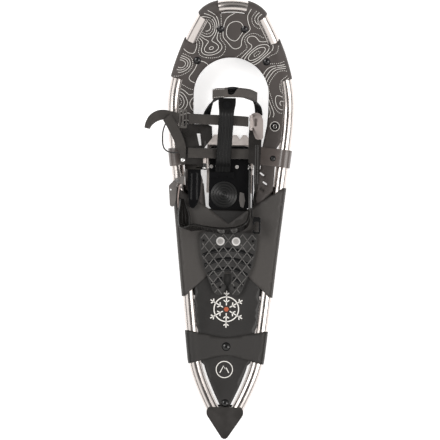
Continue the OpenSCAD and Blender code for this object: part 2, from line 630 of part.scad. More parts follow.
web_pts = [[-33, 112.6, 63.2], [-27, 114.6, 67.6], [-14, 115.4, 72.6], [0, 115.8, 74.4], [18, 115.8, 73],
  [34, 114, 68.5], [46, 109, 60.6]];
web_w = [for (q = web_pts) [0, 8.6, 3]];
module toe_webbing() color([0.42, 0.41, 0.4]) at_pivot() difference() {
  strap(smooth(web_pts, 3), smooth(web_w, 3), 1.8);
  // Notch that bares the arch between the webbing's two tabs.
  translate([0, 0, 60]) linear_extrude(24) polygon([[-6, 113], [-3, 130], [14, 130], [4, 113]]);
}

tongue_pts = [[-7, 106.4, 69.6], [-7, 96, 68.8], [-7.6, 80, 65.4], [-8.4, 60, 58], [-9.6, 36, 47.5],
  [-10.6, 14, 40], [-11.6, -3, 34.6], [-12.4, -15, 26], [-12.6, -23.6, 19.8]];
tongue_w = [for (i = [0:8]) [i < 2 ? 15.5 : 13.4, 0, 0]];
module tongue_strap() color([0.08, 0.08, 0.08]) at_pivot() difference() {
  union() {
    strap(smooth(tongue_pts, 4), smooth(tongue_w, 4), 3.4);
    for (x = [-8.6, -2.9, 2.9, 8.6]) tongue_rib(x);
  }
  tongue_boss_place() cylinder(r = 2.55, h = 20, center = true);
}
tongue_path = smooth(tongue_pts, 4);
// Rib along the strap, x from its middle.
module tongue_rib(x) {
  strap([for (i = [8:28]) let(up = unit(cross(tangent(tongue_path, i), [1, 0, 0])))
    tongue_path[i] + [x, 0, 0] + 1.9 * up], [for (i = [8:28]) [1.3, 0, 0]], 1.4);
}
module tongue_boss_place() {
  translate([-6.9, 94, 69.1]) rotate([8, 0, 0]) children();
}
module tongue_boss() color([0.16, 0.16, 0.16]) at_pivot() tongue_boss_place() {
  translate([0, 0, 2]) difference() {
    cylinder(r = 7.2, h = 1.4);
    translate([0, 0, 0.7]) difference() {
      cylinder(r = 5.8, h = 2);
      translate([0, 0, -1]) cylinder(r = 3.6, h = 4);
    }
  }
  translate([0, 0, -2.4]) cylinder(r = 2.5, h = 4.6);
}

front_pts = [[-75, 69, 38], [-62, 69, 40.5], [-44, 68, 46.5], [-24, 67.5, 51.5], [-6, 67, 53],
  [12, 66.5, 52], [24, 66, 49], [31.5, 65.5, 45.5]];
module front_strap() color([0.1, 0.1, 0.1]) at_pivot()
  strap(smooth(front_pts, 3), smooth([for (q = front_pts) [0, 9, 0]], 3), 2);
rear_pts = [[-75, 8.2, 36.2], [-60, 8.2, 38.8], [-45, 8.2, 40.4], [-34, 8.2, 35.6], [-25, 8.2, 30],
  [-10, 8.2, 28], [8, 8.2, 27.6], [24, 8.2, 29.4], [36.5, 8.2, 32.2]];
module rear_strap() color([0.1, 0.1, 0.1]) at_pivot()
  strap(smooth(rear_pts, 3), smooth([for (q = rear_pts) [0, 9, 0]], 3), 2);
module bed_flap() color([0.5, 0.49, 0.48]) at_pivot() translate([0, 0, bed_top + 0.05])
  linear_extrude(1.3) polygon([[19, -60], [26.5, -62], [29, -75], [26, -88.4], [20.5, -86], [18, -74]]);

// ---------- left wing and what rides on it ----------
wing_z = 30.6;
module left_wing() color([0.12, 0.12, 0.12]) at_pivot() difference() {
  union() {
    translate([0, 0, wing_z]) linear_extrude(2.8) polygon([[-44.9, 17], [-44.9, 8.3], [-48.9, 8.3],
      [-48.9, -10.3], [-44.9, -10.3], [-44.9, -17], [-52, -17], [-60, -12.5], [-84, -12], [-89, -9],
      [-90, 8], [-88, 46], [-84, 57], [-70, 60], [-40, 59.5], [-33, 56], [-32, 36], [-43.6, 21],
      [-44.9, 19]]);
    for (y = [[-17, -10.2], [8.2, 17]]) translate([wing_axis[0], y[0], wing_axis[1]]) rotate([-90, 0, 0])
      cylinder(r = 3.3, h = y[1] - y[0]);
  }
  translate([wing_axis[0], -30, wing_axis[1]]) rotate([-90, 0, 0]) cylinder(r = 1.66, h = 60);
  translate([-84, -4.5, 20]) cylinder(r = 2.2, h = 30);
  // Opening between the wing's plate and its inner arm.
  linear_extrude(60) polygon([[-60, 43], [-54, 43], [-51.4, 21], [-55, 21]]);
}
module wing_hinge_pin() color([0.7, 0.68, 0.66]) at_pivot() translate([wing_axis[0], -18.4, wing_axis[1]])
  rotate([-90, 0, 0]) {
    cylinder(r = 1.6, h = 36.4);
    translate([0, 0, -1]) cylinder(r = 2.8, h = 1.02);
  }
slider_z = wing_z + 3;
module strap_slider() color([0.8, 0.8, 0.79]) at_pivot()
  translate([0, 0, slider_z]) linear_extrude(2.6) difference() {
  union() {
    rounded_rect(-92, 52, -78, 86, 2.5);
    rounded_rect(-96.5, 52, -88, 56, 1.9);
  }
  rounded_rect(-89.6, 56, -86.6, 82.5, 1);
  rounded_rect(-83.6, 56, -80.4, 82.5, 1);
}
tail_pts = [[-93, 69.5, 37.2], [-104, 72, 39.5], [-116, 75, 41], [-128, 74, 40], [-139, 68, 36.5],
  [-146, 59, 31.5], [-149, 51, 26]];
tail_w = [[0, 9.6, 0], [-1, 9.6, 0], [-2.4, 9.2, -1], [-4, 8.4, -1.6], [-5.4, 6.6, -2], [-5.6, 3.4, -2],
  [-5, 1.2, -2]];
module strap_tail() color([0.11, 0.11, 0.11]) at_pivot()
  strap(smooth(tail_pts, 4), smooth(tail_w, 4), 1.8);
branch_pts = [[-83.6, 1, 34.6], [-84.2, 7, 35.2], [-86.4, 16, 37.6], [-91, 29, 40], [-97.5, 43, 42],
  [-105, 57, 44], [-114, 71, 45]];
branch_w = [[5, 0, 0], [5.3, 0, 0.2], [7.6, 1.4, 0.8], [8.4, 2.6, 1.2], [8, 3.8, 1.2], [7.4, 5, 1],
  [6.4, 6, 0.8]];
module strap_branch() color([0.11, 0.11, 0.11]) at_pivot() {
  strap(smooth(branch_pts, 4), smooth(branch_w, 4), 1.5);
  translate([0, 0, 33.7]) linear_extrude(1.8) difference() {
    rounded_rect(-88.6, -11, -78.6, 2, 3);
    translate([-84, -4.5]) circle(2.2);
  }
}
module tab_rivet() color([0.72, 0.7, 0.68]) at_pivot() translate([-84, -4.5, 35.8])
  rivet(4.2, 1.8, 2.1, 5.4, 3.8);
loop_pts = [[-115, 63, 38.6], [-117, 57, 36.6], [-119.5, 50, 34], [-121, 41, 31.6], [-121, 32, 30],
  [-120.5, 24, 29.4], [-118, 16, 29.6], [-113, 11, 30.6], [-106, 8.6, 32.4], [-99, 8, 34.6],
  [-92.4, 8.4, 36.2]];
module pull_loop() color([0.06, 0.06, 0.06]) at_pivot() wire(smooth(loop_pts, 3), 1.25, 8);

// ---------- heel strap ----------
hs_pts = [[36.3, -20, 24.5], [36.3, -52, 25], [37, -84, 27], [36.8, -102, 30.6], [32.6, -117, 34.6],
  [18, -126.4, 35.6], [-4, -129.8, 35.6], [-26, -128.6, 35.6], [-46, -125.4, 35.4], [-62, -124.6, 34.8],
  [-74, -127.4, 34], [-79.4, -119, 33], [-80.4, -104, 30.6], [-82.6, -88, 28.4], [-85, -74, 27]];
hs_w = [[0, 0, 8], [0, 0, 8], [0, 0, 8.6], [0, 2, 10.4], [-1.6, 2.6, 12.4], [-1.4, 4.2, 12.4],
  [0, 4.4, 12.4], [0.2, 3.4, 12.6], [-0.4, 3.2, 12.6], [-2.4, 5, 12.6], [-7, 2.4, 12], [-10.4, -2, 11],
  [-11, 0, 9.6], [-7, 0, 7.6], [-3, 0, 6.6]];
module heel_strap() color([0.1, 0.095, 0.09]) at_pivot() difference() {
  union() {
    strap(smooth(hs_pts, 4), smooth(hs_w, 4), 3.4);
    translate([34.6, heel_pin_at[0], heel_pin_at[1]]) rotate([0, 90, 0]) cylinder(r = 8, h = 3.4);
    translate([34.6, -20.5, heel_pin_at[1] - 8]) cube([3.4, 4.5, 16]);
  }
  translate([30, heel_pin_at[0], heel_pin_at[1]]) rotate([0, 90, 0]) cylinder(r = 2.55, h = 12);
}
module heel_pin_right() color([0.7, 0.68, 0.66]) at_pivot()
  translate([34.3, heel_pin_at[0], heel_pin_at[1]]) rotate([0, 90, 0]) {
    translate([0, 0, -1.4]) cylinder(r = 5, h = 1.4);
    cylinder(r = 2.5, h = claw_half - 34.2);
    translate([0, 0, claw_half - 34.25]) cylinder(r = 3.6, h = 1.2);
  }
module heel_pin_left() color([0.7, 0.68, 0.66]) at_pivot()
  translate([claw_t - claw_half + 0.1, heel_pin_at[0], heel_pin_at[1]]) rotate([0, -90, 0]) {
    translate([0, 0, -1.2]) cylinder(r = 4, h = 1.2);
    cylinder(r = 2.5, h = 8.4);
    translate([0, 0, 8.3]) cylinder(r = 4, h = 1.2);
  }
// Steel arm from the left pin out to the heel buckle.
module heel_anchor() color([0.45, 0.43, 0.42]) at_pivot() difference() {
  union() {
    translate([-claw_half - 0.3, heel_pin_at[0], heel_pin_at[1]])
      rotate([0, -90, 0]) cylinder(r = 5.6, h = 5);
    translate([-80, -21, heel_pin_at[1] - 3.2]) cube([36, 10, 2.6]);
    translate([-80, -21.3, heel_pin_at[1] - 5]) cube([3, 10.3, 4]);
  }
  translate([-60, heel_pin_at[0], heel_pin_at[1]]) rotate([0, 90, 0]) cylinder(r = 2.55, h = 30);
  translate([-46.3, heel_pin_at[0], heel_pin_at[1]]) rotate([0, -90, 0]) cylinder(r = 4.6, h = 2);
}
// Guard under the buckle that keeps the strap off the deck's side arm.
module side_guard() color([0.07, 0.07, 0.07]) at_pivot() translate([0, 0, 18.4]) difference() {
  union() {
    linear_extrude(2.4) polygon([[-75, -12], [-52, -12], [-50.4, -40], [-52, -66], [-57, -84], [-64, -91],
      [-71, -88], [-74, -60]]);
    for (x = [-68, -58]) hull() for (y = [-28, -74]) translate([x, y, 2]) sphere(r = 1.8, $fn = 24);
  }
  translate([-80, -21.6, 2.4]) cube([40, 12, 6]);
}
// Upright plate with two lugs that carry the lever's pin.
buckle_at = [-93, -41];
module buckle_base() color([0.5, 0.48, 0.47]) at_pivot() difference() {
  union() {
    translate([0, 0, 19]) linear_extrude(11)
      polygon([[-77.3, -21.4], [-80.3, -21.4], [-87, -55], [-84.4, -55.6]]);
    for (z = [19, 31]) translate([0, 0, z]) linear_extrude(3) hull() {
      translate(buckle_at) circle(4.6);
      polygon([[-82, -32], [-84.4, -48], [-82, -48], [-80, -32]]);
    }
    translate([-84.2, -43, 29]) cube([3, 8, 4]);
  }
  translate([buckle_at[0], buckle_at[1], 0]) cylinder(r = 2.02, h = 60);
}
module buckle_pin() color([0.75, 0.74, 0.73]) at_pivot() translate([buckle_at[0], buckle_at[1], 0]) {
  translate([0, 0, 18.4]) cylinder(r = 2, h = 16.4);
  translate([0, 0, 34.1]) difference() {
    cylinder(r = 3.6, h = 1.2);
    translate([0, 0, 0.4]) cylinder(r = 1.8, h = 2);
  }
}
module buckle_lever() color([0.42, 0.41, 0.4]) at_pivot() difference() {
  union() {
    translate([buckle_at[0], buckle_at[1], 22.3]) cylinder(r = 4.4, h = 8.4);
    translate([0, 0, 22.3]) linear_extrude(8.4) hull() {
      translate([-96.5, -43]) circle(3);
      translate([-104.4, -52]) circle(3.6);
      translate([-101.6, -84]) circle(4.2);
      translate([-97.2, -76]) circle(2);
    }
  }
  translate([buckle_at[0], buckle_at[1], 0]) cylinder(r = 2.06, h = 60);
  translate([-104.6, -58, 0]) cylinder(r = 1.4, h = 60);
}
ladder_pts = [[-88.4, -49, 26.4], [-90.2, -62, 26.4], [-91, -76, 26.8], [-89.6, -90, 27.4]];
module ladder_strap() color([0.66, 0.58, 0.55]) at_pivot() {
  path = smooth(ladder_pts, 5);
  strap(path, [for (q = path) [0, 0, 5.4]], 1.8);
  for (i = [1:14]) strap([for (k = [0, 1]) path[i] + [-1.1, -0.7 + 1.4 * k, 0]],
    [for (k = [0, 1]) [0, 0, 4.2]], 1.6);
}
module strap_doubler() color([0.12, 0.12, 0.12]) at_pivot()
  translate([40.3, -105, 18.6]) cube([2.2, 76, 12]);
module strap_keeper() color([0.07, 0.07, 0.07]) at_pivot()
  translate([0, 0, 21.6]) linear_extrude(16) difference() {
  rounded_rect(43, -134, 57, -104, 4);
  rounded_rect(46, -131, 54, -112, 2.5);
  translate([40, -128]) square([7, 10]);
}

// ---------- assembly ----------
module placed() translate(shift) children();
placed() frame_tube();
placed() tail_cap();
placed() front_deck();
placed() deck_rivets();
placed() arm_eyelets();
placed() rear_deck();
placed() mid_band();
placed() tail_band();
placed() tail_rivets();
placed() hinge_band_right();
placed() hinge_band_left();
placed() hinge_rivets();
placed() hanger_right();
placed() hanger_left();
placed() hanger_rivets();
placed() heel_plate();
placed() heel_claw();
placed() heel_washers();
placed() heel_screws();
placed() heel_nuts();
placed() pivot_axle();
placed() toe_claw();
placed() footbed();
placed() footbed_screws();
placed() sole_pad();
placed() cross_bar();
placed() right_wing();
placed() wing_rivets();
placed() toe_arch();
placed() toe_webbing();
placed() tongue_strap();
placed() tongue_boss();
placed() front_strap();
placed() rear_strap();
placed() cam_body();
placed() cam_pin();
placed() cam_lever();
placed() bed_flap();
placed() left_wing();
placed() wing_hinge_pin();
placed() strap_slider();
placed() strap_tail();
placed() strap_branch();
placed() pull_loop();
placed() tab_rivet();
placed() heel_strap();
placed() heel_pin_right();
placed() heel_pin_left();
placed() heel_anchor();
placed() side_guard();
placed() ladder_strap();
placed() buckle_base();
placed() buckle_pin();
placed() buckle_lever();
placed() strap_doubler();
placed() strap_keeper();
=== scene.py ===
"""Looks of the snowshoe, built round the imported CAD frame.

Lengths are millimetres in the snowshoe's own coordinates (x to the right, y to the nose, z up, x = y = 0 on
the pivot) until place() or to_frame() turns them into metres in the CAD frame.
"""

import json
import math

import bmesh
import bpy
import numpy as np
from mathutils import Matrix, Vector, noise
from mathutils.geometry import delaunay_2d_cdt

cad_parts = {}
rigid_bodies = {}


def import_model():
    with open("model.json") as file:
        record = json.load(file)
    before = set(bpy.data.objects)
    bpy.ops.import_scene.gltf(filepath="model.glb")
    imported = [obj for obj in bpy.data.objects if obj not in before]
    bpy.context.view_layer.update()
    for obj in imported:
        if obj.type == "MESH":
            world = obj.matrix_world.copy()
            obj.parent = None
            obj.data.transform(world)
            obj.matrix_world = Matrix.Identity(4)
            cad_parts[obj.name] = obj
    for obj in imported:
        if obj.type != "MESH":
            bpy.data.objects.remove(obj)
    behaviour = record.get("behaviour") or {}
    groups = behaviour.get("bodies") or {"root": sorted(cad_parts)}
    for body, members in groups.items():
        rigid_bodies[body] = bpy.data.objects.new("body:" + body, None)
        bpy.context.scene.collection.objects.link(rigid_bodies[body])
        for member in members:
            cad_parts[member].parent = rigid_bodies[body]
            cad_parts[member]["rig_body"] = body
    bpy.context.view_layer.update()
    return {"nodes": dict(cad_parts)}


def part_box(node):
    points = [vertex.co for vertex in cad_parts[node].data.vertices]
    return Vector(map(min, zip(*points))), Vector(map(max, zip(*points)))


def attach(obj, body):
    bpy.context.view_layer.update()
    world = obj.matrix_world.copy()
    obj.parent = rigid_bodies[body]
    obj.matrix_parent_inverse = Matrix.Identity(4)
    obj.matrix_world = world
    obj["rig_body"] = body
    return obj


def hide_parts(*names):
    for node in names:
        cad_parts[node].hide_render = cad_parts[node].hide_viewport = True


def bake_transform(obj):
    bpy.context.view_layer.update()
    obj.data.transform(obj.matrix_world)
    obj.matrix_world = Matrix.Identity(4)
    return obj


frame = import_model()

# ---------------- places
MM = 0.001
axle_low, axle_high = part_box("pivot_axle")
ORIGIN = (axle_low + axle_high) / 2
PIVOT_Z = ORIGIN.z / MM  # the tube's centre is at this height too
ORIGIN.z = 0
tube_low, tube_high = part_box("frame_tube")

# The frame's driving dimensions.
TUBE_R = 11.0
HALF_WIDTH = (tube_high.x - tube_low.x) / MM / 2
WIDEST_Y = 92.0
NOSE_Y = 281.5
NOSE_RISE = 58.0
RISE_START = 84.0

# The sheets' middles and tops over the tube's centre, and the radius of a wrap's middle.
DECK_N = 8.8
DECK_TOP = 9.6
BAND_N = 10.7
BAND_TOP = 11.5
WRAP_R = 12.05

BED_TOP = 16.0  # over the pivot's axis


def to_frame(places):
    """Places over the pivot's axis, in metres in the CAD frame."""
    return (np.asarray(places, float) + (0, 0, PIVOT_Z)) * MM + np.array(ORIGIN)


def mirror(places):
    """Places of the CAD frame on the shoe's other side."""
    return places * (-1, 1, 1) + (2 * ORIGIN.x, 0, 0)


def level(n):
    """The height function of a surface that is flat at n over the tube's centre."""
    return lambda x, l: n


def unit(rows):
    return rows / np.maximum(np.linalg.norm(rows, axis=-1, keepdims=True), 1e-9)


def run_along(line):
    """The length along a line at each of its points."""
    return np.concatenate(([0.0], np.cumsum(np.linalg.norm(np.diff(line, axis=0), axis=1))))


def sample(at, run, rows):
    """Rows read off at the lengths given, between the points of a line."""
    return np.stack([np.interp(at, run, row) for row in rows.T], -1)


# ---------------- camera
VIEW_WIDTH = 0.788
LENS_DISTANCE = 7.0
SENSOR = 36.0
NOSE_LEAN = math.radians(1.15)
AIM = Vector((0.005, 0.0, 0.045))  # the place at the picture's middle
camera_data = bpy.data.cameras.new("camera")
camera_data.sensor_width = SENSOR
camera_data.lens = SENSOR * LENS_DISTANCE / VIEW_WIDTH
camera_data.clip_end = 40.0
camera = bpy.data.objects.new("camera", camera_data)
camera.location = AIM + Vector((0, 0, LENS_DISTANCE))
camera.rotation_euler = (0.0, 0.0, NOSE_LEAN)
bpy.context.scene.collection.objects.link(camera)
bpy.context.scene.camera = camera


# ---------------- node materials
class Nodes:
    """A node tree, with short calls for the nodes that the finishes and the world share."""

    def __init__(self, tree):
        self.tree = tree

    def node(self, kind, **values):
        made = self.tree.nodes.new(kind)
        for key, value in values.items():
            if key in made.inputs:
                made.inputs[key].default_value = value
            else:
                setattr(made, key, value)
        return made

    def link(self, source, target):
        self.tree.links.new(source, target)

    def ramp(self, value, low, high, a=0.0, b=1.0):
        made = self.node("ShaderNodeMapRange")
        for key, number in (("From Min", low), ("From Max", high), ("To Min", a), ("To Max", b)):
            made.inputs[key].default_value = number
        self.link(value, made.inputs["Value"])
        return made.outputs["Result"]

    def math(self, kind, a, b):
        made = self.node("ShaderNodeMath", operation=kind)
        self.link(a, made.inputs[0])
        self.link(b, made.inputs[1])
        return made.outputs[0]


class Shader(Nodes):
    """A material whose finish is painted over a base colour and roughness."""

    def __init__(self, name, colour, rough, metallic=0.0, **sockets):
        self.material = bpy.data.materials.new(name)
        self.material.use_nodes = True
        super().__init__(self.material.node_tree)
        self.bsdf = self.tree.nodes["Principled BSDF"]
        sockets.update(Base_Color=(*colour, 1), Roughness=rough, Metallic=metallic)
        for key, value in sockets.items():
            self.bsdf.inputs[key.replace("_", " ")].default_value = value
        self.base = colour
        self.rough = rough
        self.colour = None
        self.height = None

    def coords(self, scale=(1, 1, 1), uv=False):
        source = self.node("ShaderNodeTexCoord")
        mapping = self.node("ShaderNodeMapping")
        mapping.inputs["Scale"].default_value = scale
        self.link(source.outputs["UV" if uv else "Object"], mapping.inputs["Vector"])
        return mapping.outputs["Vector"]

    def noise(self, scale, detail=3.0, rough=0.5, stretch=(1, 1, 1)):
        made = self.node("ShaderNodeTexNoise", Scale=scale, Detail=detail, Roughness=rough)
        self.link(self.coords(stretch), made.inputs["Vector"])
        return made.outputs["Fac"]

    def wave(self, axis, scale, distortion, uv=False):
        made = self.node("ShaderNodeTexWave", Scale=scale, Distortion=distortion, bands_direction=axis)
        self.link(self.coords(uv=uv), made.inputs["Vector"])
        return made.outputs["Fac"]

    def tint(self, value, low, high, factor, most=1.0, least=0.0):
        """Mixes in the base colour times factor, from least of it where value is low to most of it."""
        amount = self.ramp(value, low, high, least, most)
        mix = self.node("ShaderNodeMix", data_type="RGBA")
        if self.colour is None:
            mix.inputs["A"].default_value = (*self.base, 1)
        else:
            self.link(self.colour, mix.inputs["A"])
        mix.inputs["B"].default_value = (*(min(1.0, c * factor) for c in self.base), 1)
        self.link(amount, mix.inputs["Factor"])
        self.colour = mix.outputs["Result"]
        self.link(self.colour, self.bsdf.inputs["Base Color"])

    def roughen(self, value, low, high, least, most):
        """Roughness from least to most times the material's own, as value goes from low to high."""
        rough = self.ramp(value, low, high, self.rough * least, self.rough * most)
        self.link(rough, self.bsdf.inputs["Roughness"])

    def bump(self, value, distance, strength=1.0):
        """Adds a height in metres."""
        made = self.node("ShaderNodeBump", Strength=strength, Distance=distance)
        self.link(value, made.inputs["Height"])
        if self.height is not None:
            self.link(self.height, made.inputs["Normal"])
        self.height = made.outputs["Normal"]
        self.link(self.height, self.bsdf.inputs["Normal"])


def metal(name, colour, rough, brush=(1, 1, 0.2), brush_scale=1200.0):
    m = Shader(name, colour, rough, 1.0)
    lines = m.noise(brush_scale, 4.0, 0.6, brush)
    m.bump(lines, 0.00002, 0.35)
    m.roughen(m.noise(45.0), 0.3, 0.7, 0.75, 1.3)
    m.tint(lines, 0.55, 0.8, 0.72, 0.35)
    return m.material


def plastic(name, colour, rough, grain=0.00004, worn=0.35, **sockets):
    m = Shader(name, colour, rough, **sockets)
    m.bump(m.noise(2600.0, 2.0), grain, 0.5)
    cloud = m.noise(38.0, 4.0, 0.6)
    m.tint(cloud, 0.42, 0.8, 2.1, worn)
    m.roughen(cloud, 0.3, 0.75, 0.8, 1.25)
    m.tint(m.noise(210.0, 5.0, 0.7, (1, 0.25, 1)), 0.66, 0.78, 3.0, worn)
    return m.material


def webbing(name, colour, rough=0.75, pitch=0.0013):
    """Woven strap: ribs across the strap and a herringbone step along it, from its UV in metres."""
    m = Shader(name, colour, rough, Sheen_Weight=0.25, Sheen_Roughness=0.4)
    weave = m.math("MULTIPLY", m.wave("X", 0.5 / pitch, 0.6, True), m.wave("Y", 0.5 / pitch, 0.4, True))
    m.bump(weave, 0.00025, 0.7)
    m.tint(weave, 0.0, 0.5, 0.45, 0.0, 0.55)
    m.tint(m.noise(60.0, 4.0, 0.6), 0.5, 0.8, 1.9, 0.35)
    return m.material


def coated(name, colour, rough, light, cloud_scale=9.0):
    """Coated deck fabric: a fine woven backing showing through a skin of urethane."""
    m = Shader(name, colour, rough)
    m.bump(m.math("ADD", m.wave("X", 420.0, 0.8), m.wave("Y", 420.0, 0.8)), 0.00005, 0.5)
    m.bump(m.noise(320.0, 4.0, 0.6), 0.00012, 0.5)
    cloud = m.noise(cloud_scale, 5.0, 0.55)
    m.tint(cloud, 0.35, 0.75, light)
    m.roughen(cloud, 0.3, 0.7, 0.85, 1.15)
    m.tint(m.noise(900.0, 3.0, 0.7), 0.62, 0.8, 2.4, 0.4)
    return m.material


def printed(name, colour):
    """Screen print: matt ink, thin and slightly broken up."""
    m = Shader(name, colour, 0.62)
    wear = m.noise(520.0, 4.0, 0.7)
    m.tint(wear, 0.6, 0.78, 0.5, 0.5)
    m.bump(wear, 0.00002, 0.4)
    return m.material


# Colours are linear.
TUBE = metal("polished_tube", (0.64, 0.595, 0.57), 0.22, (1, 0.05, 1), 700.0)
STEEL = metal("bright_steel", (0.78, 0.77, 0.76), 0.24)
WASHER = metal("satin_steel", (0.82, 0.805, 0.79), 0.52)
SCREW = metal("screw_steel", (0.52, 0.505, 0.49), 0.48)
SLIDER = metal("slider_metal", (0.17, 0.16, 0.15), 0.4)
CLAW = metal("claw_steel", (0.5, 0.455, 0.43), 0.5, (0.1, 1, 1), 800.0)
DARK_METAL = metal("dark_metal", (0.07, 0.065, 0.06), 0.3, (1, 1, 1), 900.0)
BUCKLE = metal("buckle_metal", (0.42, 0.37, 0.352), 0.46, (1, 0.1, 1), 900.0)
RIVET = plastic("black_paint", (0.006, 0.006, 0.006), 0.13, 0.00001, 0.1)
DECK = coated("front_deck_fabric", (0.044, 0.0365, 0.0335), 0.62, 1.6)
REAR = coated("rear_deck_fabric", (0.0115, 0.0105, 0.0098), 0.42, 1.5)
BAND = coated("band_fabric", (0.04, 0.036, 0.033), 0.58, 1.35, 6.0)
TAIL_BAND = coated("tail_band_fabric", (0.018, 0.0163, 0.015), 0.55, 1.35, 6.0)
CAP = plastic("cap_rubber", (0.019, 0.0165, 0.015), 0.45, 0.00008, 0.4)
HINGE = plastic("hinge_urethane", (0.095, 0.08, 0.074), 0.24, 0.00003, 0.3, Coat_Weight=0.4,
                Coat_Roughness=0.2)
INK = printed("white_print", (0.86, 0.84, 0.8))
WARM_INK = printed("rust_print", (0.42, 0.09, 0.035))
GLOSS = plastic("gloss_plastic", (0.005, 0.005, 0.0055), 0.18, 0.00002, 0.2, Specular_IOR_Level=0.3)
PAD = plastic("pad_rubber", (0.006, 0.006, 0.006), 0.3, 0.00003, 0.2, Specular_IOR_Level=0.26)
WING = plastic("wing_plastic", (0.014, 0.0125, 0.0115), 0.3, 0.00005, 0.4)
STRAP = plastic("black_strap", (0.007, 0.007, 0.0075), 0.19, 0.00003, 0.25, Specular_IOR_Level=0.4)
TONGUE_BLACK = plastic("black_tongue", (0.006, 0.006, 0.006), 0.24, 0.00003, 0.2, Specular_IOR_Level=0.24)
HEEL_STRAP = plastic("heel_strap", (0.008, 0.0072, 0.0066), 0.17, 0.00003, 0.3, Specular_IOR_Level=0.36)
WEB = webbing("black_webbing", (0.038, 0.033, 0.029))
GREY_WEB = webbing("grey_webbing", (0.066, 0.057, 0.051), 0.6)
GREY = plastic("grey_plastic", (0.11, 0.102, 0.097), 0.4, 0.00005)
LADDER = plastic("ladder_plastic", (0.3, 0.235, 0.215), 0.4, worn=0.3)
CORD = webbing("cord_black", (0.014, 0.013, 0.013), 0.7, 0.0006)
HEEL_RUBBER = plastic("heel_rubber", (0.026, 0.025, 0.024), 0.4, 0.00008, 0.4)
# Paler rubber laid on the lattice's rib tops: a painted highlight where the rib tops catch the light.
HEEL_RIB_HIGHLIGHT = plastic("heel_rib_painted_highlight", (0.1, 0.096, 0.092), 0.5, 0.00006, 0.4)
EYELET_PAINT = plastic("eyelet_paint", (0.007, 0.007, 0.007), 0.2, 0.00001, 0.15)


# ---------------- pieces
def piece(name, verts, faces, material, body, slot, node=None, smooth=True, uv=None):
    mesh = bpy.data.meshes.new(name)
    mesh.from_pydata([tuple(v) for v in verts], [], [tuple(int(i) for i in f) for f in faces])
    if uv is not None:
        layer = mesh.uv_layers.new(name="UVMap")
        loops = np.zeros(len(mesh.loops), int)
        mesh.loops.foreach_get("vertex_index", loops)
        layer.data.foreach_set("uv", np.asarray(uv, float)[loops].ravel())
    made = bpy.data.objects.new(name, mesh)
    bpy.context.scene.collection.objects.link(made)
    return finish_piece(made, material, body, node, smooth)


def finish_piece(made, material, body, node=None, smooth=True):
    """node is the CAD node that the piece replaces. With no body the piece is left without a parent."""
    made.data.materials.clear()
    made.data.materials.append(material)
    made.data.polygons.foreach_set("use_smooth", [smooth] * len(made.data.polygons))
    if body:
        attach(made, body)
    if node:
        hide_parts(node)
    return made


def weld(made, distance=0.00001):
    work = bmesh.new()
    work.from_mesh(made.data)
    bmesh.ops.remove_doubles(work, verts=work.verts, dist=distance)
    bmesh.ops.recalc_face_normals(work, faces=work.faces)
    work.to_mesh(made.data)
    work.free()
    return made


def grid_faces(rows, cols, round_rows=False, round_cols=False):
    """Quads between the points of a grid, which may close on itself either way."""
    return [(i * cols + j, i * cols + (j + 1) % cols,
             (i + 1) % rows * cols + (j + 1) % cols, (i + 1) % rows * cols + j)
            for i in range(rows if round_rows else rows - 1)
            for j in range(cols if round_cols else cols - 1)]


def joined(parts):
    """The points and faces of several parts as one."""
    verts, faces = [], []
    for part_verts, part_faces in parts:
        start = len(verts)
        verts += [tuple(v) for v in part_verts]
        faces += [tuple(i + start for i in f) for f in part_faces]
    return verts, faces


def thicken(made, thickness):
    solid = made.modifiers.new("thickness", "SOLIDIFY")
    solid.thickness = thickness * MM
    solid.offset = 0.0


def roll_edges(made, width, segments, angle):
    bevel = made.modifiers.new("rolled", "BEVEL")
    bevel.width = width * MM
    bevel.segments = segments
    bevel.limit_method = "ANGLE"
    bevel.angle_limit = math.radians(angle)
    return bevel


def softened(node, material, slot, width, segments, angle=30.0):
    """The CAD node's shape as a piece with rolled edges, as moulding and tumbling leave them."""
    source = frame["nodes"][node]
    mesh = source.data.copy()
    made = bpy.data.objects.new(node + "_piece", mesh)
    bpy.context.scene.collection.objects.link(made)
    if "custom_normal" in mesh.attributes:
        mesh.attributes.remove(mesh.attributes["custom_normal"])
    work = bmesh.new()
    work.from_mesh(mesh)
    bmesh.ops.remove_doubles(work, verts=work.verts, dist=0.000004)
    for crease in work.edges:
        crease.smooth = True
    bmesh.ops.dissolve_limit(work, angle_limit=math.radians(1.5), verts=work.verts, edges=work.edges)
    work.to_mesh(mesh)
    work.free()
    roll_edges(made, width, segments, angle).miter_outer = "MITER_ARC"
    made.modifiers.new("normals", "WEIGHTED_NORMAL").keep_sharp = False
    return finish_piece(made, material, source["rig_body"], node)


# ---------------- the frame's line
def bezier(p, t):
    a, b, c, d = (np.array(q, float) for q in p)
    t = t[:, None]
    at = (1 - t) ** 3 * a + 3 * (1 - t) ** 2 * t * b + 3 * (1 - t) * t * t * c + t ** 3 * d
    slope = 3 * (1 - t) ** 2 * (b - a) + 6 * (1 - t) * t * (c - b) + 3 * t * t * (d - c)
    return at, unit(slope)


TAPER = 0.108
side_end = np.array((HALF_WIDTH - 12, -43.6))
tail_start = np.array((HALF_WIDTH - 45.85, -357.0))
lean = np.array((TAPER, 1.0))
OUTER = [
    [(0, NOSE_Y), (24, NOSE_Y), (50, NOSE_Y - 5.5), (62, NOSE_Y - 26.5)],
    [(62, NOSE_Y - 26.5), (86.8, 211.6), (HALF_WIDTH, 152), (HALF_WIDTH, WIDEST_Y)],
    [(HALF_WIDTH, WIDEST_Y), (HALF_WIDTH, 52), side_end + 46 * lean, side_end],
    [side_end, side_end - 60 * lean, tail_start + 60 * lean, tail_start],
    [tail_start, (62, -409.3), (8.3, -496.7), (7, -497.7)],
]
STEPS = 60
TUBE_END_Y = -474.0


